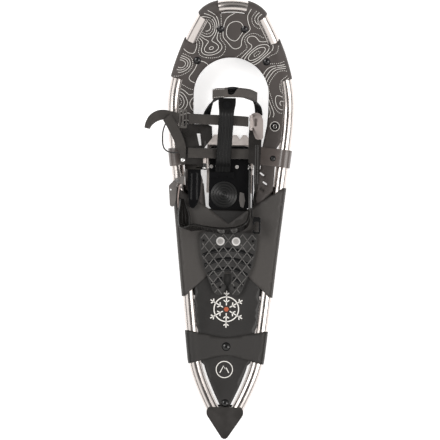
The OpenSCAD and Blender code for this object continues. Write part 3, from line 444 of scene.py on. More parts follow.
def centre_line():
    rows = []
    for k, curve in enumerate(OUTER):
        at, along = bezier(curve, np.linspace(0, 1, STEPS + 1)[(0 if k == 0 else 1):])
        rows.append(at + TUBE_R * np.stack((along[:, 1], -along[:, 0]), 1))
    line = np.concatenate(rows)
    return line[line[:, 1] > TUBE_END_Y]


LINE = centre_line()
RUN = run_along(LINE)
TOTAL = RUN[-1]

# The side view rises to the nose as a parabola; l is the length along it, so that cloth can be laid out flat.
RISE_K = NOSE_RISE / (NOSE_Y - TUBE_R - RISE_START) ** 2
ys = np.arange(-520.0, 330.0, 0.5)
slopes = np.where(ys > RISE_START, 2 * RISE_K * (ys - RISE_START), 0.0)
ls = np.concatenate(([0.0], np.cumsum(np.hypot(1, (slopes[1:] + slopes[:-1]) / 2) * np.diff(ys))))
ls += ys[0]


def run_at(y):
    return float(np.interp(-y, -LINE[:, 1], RUN))


def l_of(y):
    return np.interp(y, ys, ls)


def place(x, l, n):
    """Points on the bent sheet's plane: x across, l along the side view and n over the tube's centre."""
    x, l, n = np.broadcast_arrays(np.asarray(x, float), np.asarray(l, float), np.asarray(n, float))
    y = np.interp(l, ls, ys)
    slope = np.where(y > RISE_START, 2 * RISE_K * (y - RISE_START), 0.0)
    rise = np.where(y > RISE_START, RISE_K * (y - RISE_START) ** 2, 0.0)
    size = np.hypot(1, slope)
    out = np.stack((x, y - n * slope / size, PIVOT_Z + rise + n / size), -1)
    return out * MM + np.array(ORIGIN)


UNROLLED = np.stack((LINE[:, 0], l_of(LINE[:, 1])), 1)
ON_LINE_STEP = 3.0


def on_line(s):
    """The tube's centre at run s, laid out flat, and the direction inward."""
    s = np.clip(np.asarray(s, float), 0, TOTAL)
    ahead = sample(np.minimum(s + ON_LINE_STEP, TOTAL), RUN, UNROLLED)
    back = sample(np.maximum(s - ON_LINE_STEP, 0), RUN, UNROLLED)
    d = unit(ahead - back)
    return sample(s, RUN, UNROLLED), np.stack((d[..., 1], -d[..., 0]), -1)


def edge(s, depth):
    """Flat point at run s, a depth inside the tube's centre line."""
    at, inward = on_line(s)
    return at + depth * inward


def rim(runs, depth):
    return [tuple(edge(s, depth)) for s in runs]


def depth_inside(x, l):
    """Signed distance inside the tube's centre line of flat points, on either side."""
    x = np.abs(np.asarray(x, float))
    l = np.asarray(l, float)
    at, inward = on_line(np.linspace(0, TOTAL, 1200))
    q = np.stack((x, l), -1).reshape(-1, 1, 2)
    out = []
    for part in np.array_split(q, max(1, len(q) // 400)):
        near = np.argmin(((part - at) ** 2).sum(-1), axis=1)
        out.append(((part[:, 0] - at[near]) * inward[near]).sum(-1))
    return np.concatenate(out).reshape(x.shape)


# ---------------- frame tube
def sweep(name, rings, material, body, slot, node=None, closed=False, uv=None):
    """A skin over rings of points, capped at both ends unless the last ring joins the first."""
    m, n = rings.shape[:2]
    faces = grid_faces(m, n, closed, True)
    if not closed:
        faces += [tuple(range(n))[::-1], tuple((m - 1) * n + j for j in range(n))]
    return weld(piece(name, rings.reshape(-1, 3), faces, material, body, slot, node, uv=uv), 1e-7)


def make_tube():
    runs = np.concatenate((np.linspace(0, 460, 150), np.linspace(468, 620, 16), np.linspace(628, TOTAL, 32)))
    angles = np.linspace(0, 2 * math.pi, 48, endpoint=False)
    at, inward = on_line(runs)
    b = -TUBE_R * np.sin(angles)
    right = place(at[:, :1] + b * inward[:, :1], at[:, 1:] + b * inward[:, 1:], TUBE_R * np.cos(angles))
    rings = np.concatenate((mirror(right)[:0:-1], right))
    sweep("tube_piece", rings, TUBE, "frame", "polished_aluminium", "frame_tube")


make_tube()


# ---------------- sheets
def inside(polygon, x, l):
    """True for the flat points that are inside a closed outline."""
    polygon = np.asarray(polygon, float)
    hit = np.zeros(len(x), bool)
    for p, q in zip(polygon, np.roll(polygon, -1, axis=0)):
        if p[1] == q[1]:
            continue
        cross = (p[1] > l) != (q[1] > l)
        at = p[0] + (l - p[1]) / (q[1] - p[1]) * (q[0] - p[0])
        hit ^= cross & (x < at)
    return hit


def densify(outline, step):
    """A closed outline with its sides cut into parts no shorter than step."""
    out = []
    for p, q in zip(outline, outline[1:] + outline[:1]):
        p, q = np.asarray(p, float), np.asarray(q, float)
        count = max(1, int(np.linalg.norm(q - p) / step))
        out += [p + (q - p) * i / count for i in range(count)]
    return out


def mirrored(right):
    """Closed outline from its right half, which runs from x = 0 round to x = 0."""
    left = [(-p[0], p[1]) for p in reversed(right) if abs(p[0]) > 0.01]
    return [tuple(p) for p in right] + left


def cloth_mesh(outline, lift, step, holes=()):
    """Triangles that fill a flat outline round its holes, each point lifted to its height over the tube's
    centre."""
    line = densify([np.asarray(p, float) for p in outline], step)
    count = len(line)
    borders = []
    for hole in holes:
        start = len(line)
        line += [np.asarray(p, float) for p in hole]
        borders += [(start + i, start + (i + 1) % len(hole)) for i in range(len(hole))]
    flat = np.array(line)
    low, high = flat.min(0), flat.max(0)
    gx, gl = np.meshgrid(np.arange(low[0], high[0], step), np.arange(low[1], high[1], step))
    gx = gx + (np.arange(gx.shape[0])[:, None] % 2) * step / 2
    gx, gl = gx.ravel(), gl.ravel()
    keep = inside(flat[:count], gx, gl)
    grid = np.stack((gx[keep], gl[keep]), 1)
    gaps = np.array([np.min(((flat - g) ** 2).sum(1)) for g in grid])
    grid = grid[gaps > (0.55 * step) ** 2]
    points = [Vector(p) for p in np.concatenate((flat, grid))]
    verts, _, faces, *_ = delaunay_2d_cdt(points, borders, [list(range(count))], 1, 1e-4)
    xy = np.array([tuple(v) for v in verts])
    middles = np.array([xy[list(f)].mean(0) for f in faces])
    open_at = np.zeros(len(faces), bool)
    for hole in holes:
        open_at |= inside(hole, middles[:, 0], middles[:, 1])
    faces = [f for f, cut in zip(faces, open_at) if not cut]
    return place(xy[:, 0], xy[:, 1], lift(xy[:, 0], xy[:, 1])), faces


CLOTH_T = 1.6
WRAP_EDGE = 8.0  # how far past the tube's centre the flat part of a wrap reaches
WRAP_TURN = 212.0  # degrees round the tube, from its top


def over_tube(x, l, n_flat, radius=WRAP_R):
    """Height of a sheet that lies flat at n_flat and rises over the tube where it crosses it."""
    b = depth_inside(x, l)
    crown = np.sqrt(np.maximum(radius ** 2 - np.minimum(np.abs(b), radius) ** 2, 0))
    crown = np.where(b < radius, crown, 0)
    soft = 0.35  # rounds the line where the sheet leaves the tube
    return soft * np.logaddexp(crown / soft, n_flat / soft)


def wrap_strip(span, count, end, side):
    """The part of a wrap that goes down the tube's outside, under it and back in under the deck."""
    at, inward = on_line(np.linspace(*span, count))
    start = math.degrees(math.asin(WRAP_EDGE / WRAP_R))
    angles = np.radians(np.arange(start, WRAP_TURN, 9.0))
    b = np.concatenate((-WRAP_R * np.sin(angles), [p[0] for p in end]))
    n = np.concatenate((WRAP_R * np.cos(angles), [p[1] for p in end]))
    grid = place(at[:, :1] + b * inward[:, :1], at[:, 1:] + b * inward[:, 1:], n)
    if side < 0:
        grid = mirror(grid)
    return grid.reshape(-1, 3), grid_faces(*grid.shape[:2])


def cloth(name, parts, material, slot, node, wave, wave_size):
    """Joins the parts of one stretched cloth, waves it a little and gives it its thickness."""
    made = weld(piece(name, *joined(parts), material, "frame", slot, node), 0.0004)
    made.data.update()
    normals = [v.normal.copy() for v in made.data.vertices]
    for v, normal in zip(made.data.vertices, normals):
        v.co += normal * wave * MM * noise.noise(v.co / (wave_size * MM))
    thicken(made, CLOTH_T)


# ---------------- front deck
DECK_IN = 8.6  # how far inside the tube's centre the deck's edge runs
TAB_SPANS = [(24.5, 55.5), (run_at(209), run_at(143))]
TAB_REACH = (30.0, 27.0)
TOE_R, TOE_Y = 67.0, 116.0
TAB_STEPS = 9


def tab(span):
    """The deck's edge where a tab goes out over the tube."""
    return (rim(span[:1], DECK_IN) + rim(np.linspace(*span, TAB_STEPS), -WRAP_EDGE)
            + rim(span[1:], DECK_IN))


def front_outline():
    nose, side = TAB_SPANS
    right = rim(np.arange(4, nose[0], 8), DECK_IN) + tab(nose)
    right += rim(np.arange(nose[1] + 6, side[0] - 3, 8), DECK_IN) + tab(side)
    right += rim([run_at(y) for y in range(135, 15, -15)], 8.3)
    right += [(83.6, 20), (80.6, -17), (80, -30), (78, -57), (66, -67), (58, -84), (47.6, -86), (47.6, -62),
              (47.6, -40), (55, -17), (57, -2), (57, 18), (61.6, 42), (65, 60), (66.8, 84)]
    right += [(TOE_R * math.cos(a), float(l_of(TOE_Y + TOE_R * math.sin(a))))
              for a in np.radians(np.arange(0, 90, 5))]
    return mirrored(right)


FRONT = front_outline()
SLOT_PLACES = ((58, -27), (63.5, -43), (58, -55))
SLOT_R = 1.4
SLOT_HALF = 4.6
SLOT_TURN = math.radians(-35)


def arm_slots():
    """Outlines of the three round-ended slots in each of the deck's side arms."""
    ends = [(SLOT_HALF - SLOT_R + SLOT_R * math.cos(a), SLOT_R * math.sin(a))
            for a in np.linspace(-1.5, 1.5, 7)]
    c, s = math.cos(SLOT_TURN), math.sin(SLOT_TURN)
    local = np.array(ends + [(-x, -y) for x, y in ends]) @ np.array(((c, s), (-s, c)))
    right = [local + at for at in SLOT_PLACES]
    return right + [hole * (-1, 1) for hole in right]


def make_front_deck():
    parts = [cloth_mesh(FRONT, lambda x, l: over_tube(x, l, DECK_N), 5.0, arm_slots())]
    for span, reach in zip(TAB_SPANS, TAB_REACH):
        end = [(9.5, -6.0), (13.5, 0.5), (17.5, 6.4), (reach, 7.0)]
        parts += [wrap_strip(span, TAB_STEPS, end, side) for side in (1, -1)]
    cloth("front_deck_cloth", parts, DECK, "deck_fabric", "front_deck", 0.5, 55.0)


make_front_deck()


# ---------------- print on the front deck
LINE_WIDTH = 0.82
DOT = 1.7
PRINT_END_Y = 74.0
HILLS = [  # x, l, spread across and along, turn in degrees, height
    (-46, 245, 15, 19, 25, 1.2), (-37, 201, 18, 9, 20, 0.65), (33, 221, 10, 8, 0, 0.55),
    (44, 193, 22, 9, 38, 0.85), (-90, 172, 14, 12, 0, 1.1), (76, 134, 15, 21, -15, 1.1),
    (100, 160, 16, 12, -10, 0.8), (-96, 100, 11, 15, 0, 0.9), (-64, 98, 6, 12, 0, 0.5),
    (52, 264, 12, 14, -40, 0.85), (79, 58, 15, 15, 0, 0.9), (94, 100, 16, 15, 15, 1.2),
    (2, 236, 18, 20, 0, -0.4), (-72, 216, 10, 20, 10, -0.4), (80, 178, 16, 8, -20, -0.3)]


def hill_height(x, l):
    total = 0.2 * np.sin(x / 31.0 + 0.6) * np.cos(l / 27.0) + 0.08 * np.sin((x + l) / 19.0)
    for hx, hl, wide, long, turn, height in HILLS:
        c, s = math.cos(math.radians(turn)), math.sin(math.radians(turn))
        u, v = (x - hx) * c + (l - hl) * s, -(x - hx) * s + (l - hl) * c
        total = total + height * np.exp(-0.5 * ((u / wide) ** 2 + (v / long) ** 2))
    return total


def contours(height, x_axis, l_axis, field):
    """Lines of one height in a field on a grid, as lists of points."""
    segments = {}

    def crossing(i, j, across):
        """Where the line crosses the side of a cell that runs from (i, j) across or along."""
        i1, j1 = (i + 1, j) if across else (i, j + 1)
        t = (height - field[j, i]) / (field[j1, i1] - field[j, i])
        return x_axis[i] + t * (x_axis[i1] - x_axis[i]), l_axis[j] + t * (l_axis[j1] - l_axis[j])

    where = {}
    above = field > height
    for j in range(len(l_axis) - 1):
        for i in range(len(x_axis) - 1):
            cell = (above[j, i], above[j, i + 1], above[j + 1, i + 1], above[j + 1, i])
            sides = ((0, 1, (i, j, True)), (1, 2, (i + 1, j, False)),
                     (3, 2, (i, j + 1, True)), (0, 3, (i, j, False)))
            cuts = [key for a, b, key in sides if cell[a] != cell[b]]
            for key in cuts:
                where.setdefault(key, crossing(*key))
            for k in range(0, len(cuts) - 1, 2):
                a, b = cuts[k], cuts[k + 1]
                segments.setdefault(a, []).append(b)
                segments.setdefault(b, []).append(a)
    lines = []
    for start in [k for k, v in segments.items() if len(v) == 1] + list(segments):
        if not segments[start]:
            continue
        chain, here = [start], start
        while segments[here]:
            ahead = segments[here].pop()
            segments[ahead].remove(here)
            chain.append(ahead)
            here = ahead
        lines.append([where[k] for k in chain])
    return lines


def resample(line, step):
    line = np.asarray(line, float)
    run = run_along(line)
    return sample(np.linspace(0, run[-1], max(2, int(run[-1] / step) + 1)), run, line)


def ribbons(lines, width, height):
    """Thin flat ribbons along flat lines, laid on the surface whose height the function gives."""
    parts = []
    for line in lines:
        n = len(line)
        d = unit(np.gradient(line, axis=0))
        across = np.stack((-d[:, 1], d[:, 0]), 1) * width / 2
        x, l = np.concatenate((line + across, line - across)).T
        parts.append((place(x, l, height(x, l)), [(k, n + k, n + k + 1, k + 1) for k in range(n - 1)]))
    return joined(parts)


INK_GAP = 0.37  # over the cloth, which is waved


def print_height(x, l):
    return over_tube(x, l, DECK_TOP, WRAP_R + 0.8) + INK_GAP


def printable(x, l):
    return inside(FRONT, x, l) & (l > PRINT_END_Y) & (depth_inside(x, l) > 0.3 - WRAP_EDGE)


EYELET = (79.3, 59.0)


def ring_line(cx, cy, radius, count=72):
    a = np.linspace(0, 2 * math.pi, count + 1)
    return np.stack((cx + radius * np.cos(a), cy + radius * np.sin(a)), 1)


def kept_parts(line, ok):
    """The parts of a line along which ok is true."""
    cuts = np.flatnonzero(np.diff(ok.astype(int))) + 1
    return [part for part, good in zip(np.split(line, cuts), np.split(ok, cuts)) if good[0]]


def make_contour_print():
    """Contour lines of the hills, every fourth one dotted, and a ring round each eyelet."""
    x_axis = np.arange(-118, 119, 2.0)
    l_axis = np.arange(60, 306, 2.0)
    field = hill_height(*np.meshgrid(x_axis, l_axis))
    solid, dotted = [], []
    for k, height in enumerate(np.arange(-0.5, 1.6, 0.2)):
        for line in contours(height, x_axis, l_axis, field):
            line = resample(line, DOT)
            if len(line) < 12:
                continue
            for part in kept_parts(line, printable(*line.T)):
                if len(part) < 4:
                    continue
                if k % 4 == 3:
                    dotted += [part[i:i + 2] for i in range(0, len(part) - 1, 2)]
                else:
                    solid.append(part)
    ring = ring_line(*EYELET, 8.4)
    solid += [ring, ring * (-1, 1)]
    piece("contour_print", *ribbons(solid + dotted, LINE_WIDTH, print_height), INK, "frame", "deck_fabric")


make_contour_print()


def torus(cx, cy, n, radius, thick):
    """Rings of points of a ring that lies flat on the shoe, n over the tube's centre."""
    turn = np.linspace(0, 2 * math.pi, 40, endpoint=False)[:, None]
    tilt = np.linspace(0, 2 * math.pi, 10, endpoint=False)[None]
    far = radius + thick * np.cos(tilt)
    return place(cx + far * np.cos(turn), cy + far * np.sin(turn), n + thick * np.sin(tilt))


for side, side_name in ((1, "right"), (-1, "left")):
    rings = torus(side * EYELET[0], EYELET[1], DECK_TOP + 1.3, 3.3, 0.55)
    sweep("eyelet_ring_" + side_name, rings, STEEL, "frame", "bright_steel", closed=True)


# ---------------- rear deck and its marks
MID_SPAN = (run_at(-50), run_at(-247))
TAIL_SPAN = (run_at(-308), run_at(-366))


def rear_inset(s):
    if s < MID_SPAN[1] + 3 or TAIL_SPAN[0] - 3 < s < TAIL_SPAN[1] + 3:
        return 10.8
    return 14.8 if s > TAIL_SPAN[1] else 8.3


def make_rear_deck():
    right = [(0, -90), (57, -90)]
    right += [tuple(edge(s, rear_inset(s))) for s in np.arange(run_at(-94), run_at(-436), 6)]
    right += [(9, -442.6), (0, -444)]
    parts = [cloth_mesh(mirrored(right), level(DECK_N), 6.0)]
    cloth("rear_deck_cloth", parts, REAR, "deck_rear_fabric", "rear_deck",
          0.35, 70.0)


REAR_PRINT = level(DECK_TOP + 0.3)
MARK = np.array((-1.0, -270.0))
MARK_RING = 22.0
FLAKE_ARM = (7.0, 20.0, 33.0)
FLAKE_BARBS = ((12.5, 5.0), (26.0, 4.6))
ROUNDEL = np.array((-2.4, -378.0))
ROUNDEL_RING = 14.6
PEAK = ((-8, -6.0), (-1.5, 6.5), (1.6, 1.0), (3.2, 3.4), (8, -6.0))


def make_rear_marks():
    """Generic winter marks: a ringed snowflake, and a ring round a peak."""
    lines = [ring_line(*MARK, MARK_RING)]
    for a in np.radians(np.arange(30, 390, 60)):
        d, e = np.array((math.cos(a), math.sin(a))), np.array((-math.sin(a), math.cos(a)))
        lines.append(np.array([MARK + d * r for r in FLAKE_ARM]))
        lines += [np.array([MARK + d * r, MARK + d * (r + size * 0.7) + e * side * size])
                  for r, size in FLAKE_BARBS for side in (1, -1)]
    heart = ring_line(*MARK, 4.6, 6)[:-1]
    roundel = [ring_line(*ROUNDEL, ROUNDEL_RING), ROUNDEL + PEAK]
    for name, (verts, faces), ink in (
            ("snowflake_print", ribbons(lines, 1.9, REAR_PRINT), INK),
            ("snowflake_heart_print", (place(*heart.T, REAR_PRINT(*heart.T)), [range(6)]), WARM_INK),
            ("roundel_print", ribbons(roundel, 1.4, REAR_PRINT), INK)):
        piece(name, verts, faces, ink, "frame", "deck_rear_fabric", smooth=False)


make_rear_deck()
make_rear_marks()


# ---------------- bands
def make_band(name, node, span, front, back, count, end, material):
    """A band of cloth round both tubes; front and back are the right halves of its edges across the shoe."""
    outline = mirrored(front + rim(np.linspace(*span, count), -WRAP_EDGE) + back)
    parts = [cloth_mesh(outline, lambda x, l: over_tube(x, l, BAND_N), 6.0)]
    parts += [wrap_strip(span, count, end, side) for side in (1, -1)]
    cloth(name, parts, material, "band_fabric", node, 0.45, 80.0)


MID_END = [(8.4, -8.0), (12.5, -1.0), (16.5, 6.3), (30.0, 6.9), (44.0, 6.9)]
TAIL_END = [(5.5, -10.7), (10.0, -6.8), (11.6, -1.0)]
make_band("mid_band_cloth", "mid_band", MID_SPAN, [(0, -117), (34, -91.5)], [(32, -207), (0, -207)], 24,
          MID_END, BAND)
make_band("tail_band_cloth", "tail_band", TAIL_SPAN, [(0, -320), (8, -320)], [(8, -353), (0, -353)], 10,
          TAIL_END, TAIL_BAND)


# ---------------- hinge bands
HINGE_IN = 47.6
HINGE_T = 3.0
HINGE_W = 32.0
HINGE_R = 12.75
HINGE_Y = 1.5
HINGE_TOP = 11.4
HINGE_UNDER = 6.3


def make_hinge_band(side, node):
    """Thick moulded loop round the tube whose two plies run in to the hanger."""
    runs = np.linspace(run_at(HINGE_Y + HINGE_W / 2), run_at(HINGE_Y - HINGE_W / 2), 13)
    arc = np.radians(np.arange(-26, 213, 7))
    loop = list(zip(-HINGE_R * np.sin(arc), HINGE_R * np.cos(arc)))
    rows = []
    for at, inward in zip(*on_line(runs)):
        reach = at[0] - HINGE_IN
        path = [(reach, HINGE_TOP), (reach - 3, HINGE_TOP), (24, HINGE_TOP), (14, HINGE_TOP + 0.05)] + loop
        path += [(10.5, -4.5), (14, 1.0), (18, 5.0), (23, HINGE_UNDER), (reach - 3, HINGE_UNDER),
                 (reach, HINGE_UNDER)]
        rows.append([(*(at + b * inward), n) for b, n in path])
    verts = place(*np.moveaxis(np.array(rows), -1, 0))
    if side < 0:
        verts = mirror(verts)
    made = piece(node + "_loop", verts.reshape(-1, 3), grid_faces(*verts.shape[:2]), HINGE, "frame",
                 "hinge_urethane", node)
    thicken(weld(made), HINGE_T)
    roll_edges(made, 0.7, 3, 50)


make_hinge_band(1, "hinge_band_right")
make_hinge_band(-1, "hinge_band_left")


# ---------------- straps
def catmull(points, k):
    points = [np.asarray(p, float) for p in points]
    last = len(points) - 1
    out = []
    for i in range(last):
        a, b, c, d = points[max(i - 1, 0)], points[i], points[i + 1], points[min(i + 2, last)]
        for j in range(k + (1 if i == last - 1 else 0)):
            t = j / k
            out.append(0.5 * (2 * b + (c - a) * t + (2 * a - 5 * b + 4 * c - d) * t * t
                              + (3 * b - a - 3 * c + d) * t ** 3))
    return np.array(out)


def strap_line(points, halves, per):
    """A strap's path and half widths, smoothed, with its directions, its normals and the length along it."""
    path, wide = catmull(points, per), catmull(halves, per)
    ahead = unit(np.gradient(path, axis=0))
    return path, wide, ahead, unit(np.cross(ahead, wide)), run_along(path)


RIDGE_FADE = 8.0


def strap(name, points, halves, thickness, material, body, slot, node=None, ridges=(), per=8, across=14,
          ridge_start=-20.0):
    """Flat strap with rounded edges along 3-D points over the pivot. halves are half-width vectors.
    ridges are (middle, half width, height) across the strap, with the middle from -1 to 1; they fade in at
    ridge_start along it. With no body the piece is left without a parent."""
    path, wide, _, normal, run = strap_line(points, halves, per)
    us = np.sin(np.linspace(-math.pi / 2, math.pi / 2, across + 1))
    size = np.linalg.norm(wide, axis=1)
    rows, uvs = [], []
    for i in range(len(path)):
        fade = min(1.0, max(0.0, (run[i] - ridge_start) / RIDGE_FADE))
        for sign in (1, -1):
            for u in us[::sign]:
                gap = size[i] * (1 - abs(u))
                round_edge = math.sqrt(max(0.0, 1 - max(0.0, 1 - gap / (thickness / 2)) ** 2))
                h = thickness / 2 * round_edge
                if sign > 0:
                    for middle, half, height in ridges:
                        h += fade * height * max(0.0, 1 - ((u - middle) / half) ** 2) ** 0.5 * round_edge
                rows.append(path[i] + u * wide[i] + normal[i] * sign * h)
                uvs.append((u * size[i] * MM, run[i] * MM))
    rings = to_frame(rows).reshape(len(path), -1, 3)
    return sweep(name, rings, material, body, slot, node, uv=np.array(uvs))


STITCH_PITCH = 3.4
STITCH_AT = 0.8  # of the strap's half width
BEAD = ((-1.15, 0.15), (-0.5, 0.36), (0.5, 0.36), (1.15, 0.15))  # along a stitch, and its radius there


def stitches(name, points, halves, ends, material, slot):
    """Two rows of thread along a strap of the binding, each stitch a small rounded bead."""
    *rows, run = strap_line(points, halves, 10)
    parts = []
    for u in (STITCH_AT, -STITCH_AT):
        for r in np.arange(ends[0], run[-1] - ends[1], STITCH_PITCH):
            here, wide, ahead, up = (sample(r, run, row) for row in rows)
            base = here + u * wide + up
            bead = [base + ahead * along + size * (math.cos(a) * unit(wide) + math.sin(a) * up)
                    for along, size in BEAD for a in np.radians(np.arange(0, 360, 60))]
            parts.append((to_frame(bead), grid_faces(4, 6, round_cols=True)))
    piece(name, *joined(parts), material, "binding", slot)


ARCH = [(-44, 70, 27), (-41, 84, 42), (-33, 100, 54), (-18, 113, 61), (0, 118, 63), (18, 116, 61.6),
        (36, 107, 56), (47, 95, 46), (50, 80, 31)]
ARCH_W = [(7, 2, 0), (6.5, 2.6, 1), (4.2, 6, 3), (1.5, 8, 4.4), (0, 8.4, 4.6), (-1.5, 8, 4.4), (-4.2, 6, 3),
          (-6.5, 2.6, 1), (-7, 2, 0)]
strap("toe_arch_strap", ARCH, ARCH_W, 3, STRAP, "binding", "black_strap", "toe_arch",
      ridges=((-0.78, 0.2, 0.8), (0.78, 0.2, 0.8)))

# The webbing's front edge is drawn back between its two tabs, so the arch shows there.
WEB_PTS = [(-33, 112.6, 63.2), (-27, 114.6, 67.6), (-14, 115.4, 72.6), (-7.4, 115.6, 73.8),
           (-5, 110.4, 72.2), (4, 110.6, 72.3), (12, 115.8, 73.6), (22, 115.6, 72.4), (34, 114, 68.5),
           (46, 109, 60.6)]
WEB_HALF = [8.6, 8.6, 8.6, 8.4, 3.0, 3.0, 8.2, 8.6, 8.6, 8.6]
WEB_W = [(0, h, 0.35 * h) for h in WEB_HALF]
strap("toe_web_strap", WEB_PTS, WEB_W, 1.8, GREY_WEB, "binding", "grey_webbing", "toe_webbing", per=6)
stitches("toe_web_stitches_left", WEB_PTS[:4], WEB_W[:4], (2, 4), INK, "grey_webbing")
stitches("toe_web_stitches_right", WEB_PTS[6:], WEB_W[6:], (4, 3), CORD, "grey_webbing")

TONGUE = [(-7, 106.4, 69.6), (-7, 96, 68.8), (-7.6, 80, 65.4), (-8.4, 60, 58), (-9.6, 36, 47.5),
          (-10.6, 14, 40), (-11.6, -3, 34.6), (-12.4, -15, 26), (-12.6, -23.6, 19.8)]
TONGUE_RIDGES = ((-0.93, 0.06, 0.9), (-0.64, 0.1, 1.1), (-0.22, 0.1, 1.1),
                 (0.22, 0.1, 1.1), (0.64, 0.1, 1.1), (0.93, 0.06, 0.9))
strap("tongue_piece", TONGUE, [(15.5, 0, 0)] * 2 + [(13.4, 0, 0)] * 7, 3.4, TONGUE_BLACK, "binding",
      "black_strap", "tongue_strap", TONGUE_RIDGES, across=60, ridge_start=24.0)

FRONT_STRAP = [(-75, 69, 38), (-62, 69, 40.5), (-44, 68, 46.5), (-24, 67.5, 51.5), (-6, 67, 53),
               (12, 66.5, 52), (24, 66, 49), (31.5, 65.5, 45.5)]
REAR_STRAP = [(-75, 8.2, 36.2), (-60, 8.2, 38.8), (-45, 8.2, 40.4), (-34, 8.2, 35.6), (-25, 8.2, 30),
              (-10, 8.2, 28), (8, 8.2, 27.6), (24, 8.2, 29.4), (36.5, 8.2, 32.2)]


def crossing_strap(name, points, node):
    """Webbing that joins the folding left wing to the right side, left without a parent."""
    made = strap(name, points, [(0, 9, 0)] * len(points), 2, WEB, None, "black_webbing", node, per=12)
    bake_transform(made)


crossing_strap("front_web_strap", FRONT_STRAP, "front_strap")
crossing_strap("rear_web_strap", REAR_STRAP, "rear_strap")

TAIL_PTS = [(-93, 69.5, 37.2), (-104, 72, 39.5), (-116, 75, 41), (-128, 74, 40), (-139, 68, 36.5),
            (-146, 59, 31.5), (-149, 51, 26)]
TAIL_W = [(0, 9.6, 0), (-1, 9.6, 0), (-2.4, 9.2, -1), (-4, 8.4, -1.6), (-5.4, 6.6, -2), (-5.6, 3.4, -2),
          (-5, 1.2, -2)]
strap("strap_tail_piece", TAIL_PTS, TAIL_W, 1.8, WEB, "left_wing", "black_webbing", "strap_tail")

BRANCH = [(-83.6, 1, 34.6), (-84.2, 7, 35.2), (-86.4, 16, 37.6), (-91, 29, 40), (-97.5, 43, 42),
          (-105, 57, 44), (-114, 71, 45)]
BRANCH_W = [(5, 0, 0), (5.3, 0, 0.2), (7.6, 1.4, 0.8), (8.4, 2.6, 1.2), (8, 3.8, 1.2), (7.4, 5, 1),
            (6.4, 6, 0.8)]
strap("strap_branch_piece", BRANCH, BRANCH_W, 1.8, WEB, "left_wing", "black_webbing", "strap_branch")
TAB = [(-84, -11, 34.6), (-84, -8, 34.6), (-84, -4.5, 34.6), (-84, 0, 34.6), (-83.8, 3, 34.7)]
strap("strap_branch_tab", TAB, [(5, 0, 0)] * 5, 1.9, WEB, "left_wing", "black_webbing")
HEEL_PTS = [(36.3, -20, 24.5), (36.3, -52, 25), (37, -84, 27), (36.8, -102, 30.6), (32.6, -117, 34.6),
            (18, -126.4, 35.6), (-4, -129.8, 35.6), (-26, -128.6, 35.6), (-46, -125.4, 35.4),
            (-62, -124.6, 34.8), (-74, -127.4, 34), (-79.4, -119, 33), (-80.4, -104, 30.6),
            (-82.6, -88, 28.4), (-85, -74, 27)]
HEEL_W = [(0, 0, 8), (0, 0, 8), (0, 0, 8.6), (0, 2, 10.4), (-1.6, 2.6, 12.4), (-1.4, 4.2, 12.4),
          (0, 4.4, 12.4), (0.2, 3.4, 12.6), (-0.4, 3.2, 12.6), (-2.4, 5, 12.6), (-7, 2.4, 12),
          (-10.4, -2, 11), (-11, 0, 9.6), (-7, 0, 7.6), (-3, 0, 6.6)]
HEEL_RIDGES = ((-0.84, 0.12, 0.9), (0.84, 0.12, 0.9), (-0.28, 0.05, 0.5), (0.28, 0.05, 0.5))
strap("heel_strap_piece", HEEL_PTS, HEEL_W, 3.4, HEEL_STRAP, "heel_strap", "black_strap", "heel_strap",
      HEEL_RIDGES, across=36)

LADDER_PTS = [(-88.4, -49, 26.4), (-90.2, -62, 26.4), (-91, -76, 26.8), (-89.6, -90, 27.4)]
strap("ladder_piece", LADDER_PTS, [(0, 0, 5.4)] * 4, 1.8, LADDER, "heel_strap", "ladder_plastic",
      "ladder_strap", ridges=((-0.8, 0.2, 0.5), (0.8, 0.2, 0.5)))

# ---------------- cord
LOOP = [(-115, 63, 38.6), (-117, 57, 36.6), (-119.5, 50, 34), (-121, 41, 31.6), (-121, 32, 30),
        (-120.5, 24, 29.4), (-118, 16, 29.6), (-113, 11, 30.6), (-106, 8.6, 32.4), (-99, 8, 34.6),
        (-92.4, 8.4, 36.2)]
LOOP_R = 1.25


def make_loop():
    path = catmull(LOOP, 6)
    ahead = unit(np.gradient(path, axis=0))
    a = unit(np.cross(ahead, (0, 0, 1.0)))[:, None]
    b = np.cross(a, ahead[:, None])
    run = run_along(path)
    angles = np.linspace(0, 2 * math.pi, 12, endpoint=False)
    rings = path[:, None] + LOOP_R * (np.cos(angles)[:, None] * a + np.sin(angles)[:, None] * b)
    uv = [(angle * LOOP_R * MM, r * MM) for r in run for angle in angles]
    made = sweep("loop_cord_piece", to_frame(rings), CORD, "left_wing", "loop_cord", "pull_loop", uv=uv)


make_loop()

# ---------------- pieces that keep their CAD shape
ROLLED = [  # node, material, slot, the rolled edge's width and segments, and the angle that it starts from
    ("tail_cap", CAP, "cap_rubber", 1.6, 4, 40),
    ("footbed", GLOSS, "glossy_plastic", 1.2, 4),
    ("cross_bar", GLOSS, "glossy_plastic", 1.5, 4),
    ("left_wing", WING, "wing_plastic", 0.6, 3),
    ("right_wing", WING, "wing_plastic", 0.6, 3),
    ("toe_claw", CLAW, "claw_steel", 0.3, 2),
    ("heel_claw", CLAW, "claw_steel", 0.3, 2),
    ("cam_body", BUCKLE, "buckle_metal", 0.4, 2),
    ("cam_lever", BUCKLE, "buckle_metal", 0.6, 3),
    ("buckle_lever", GREY, "grey_leaf", 0.8, 3),
    ("buckle_base", GREY, "grey_leaf", 0.4, 2),
    ("bed_flap", GREY, "grey_leaf", 0.4, 2),
    ("strap_slider", SLIDER, "bright_steel", 0.5, 3),
    ("strap_doubler", STRAP, "black_strap", 0.6, 3),
    ("strap_keeper", STRAP, "black_strap", 0.6, 3),
    ("heel_anchor", DARK_METAL, "claw_steel", 0.3, 2),
    ("side_guard", GLOSS, "glossy_plastic", 0.6, 3)]
for row in ROLLED:
    softened(*row)

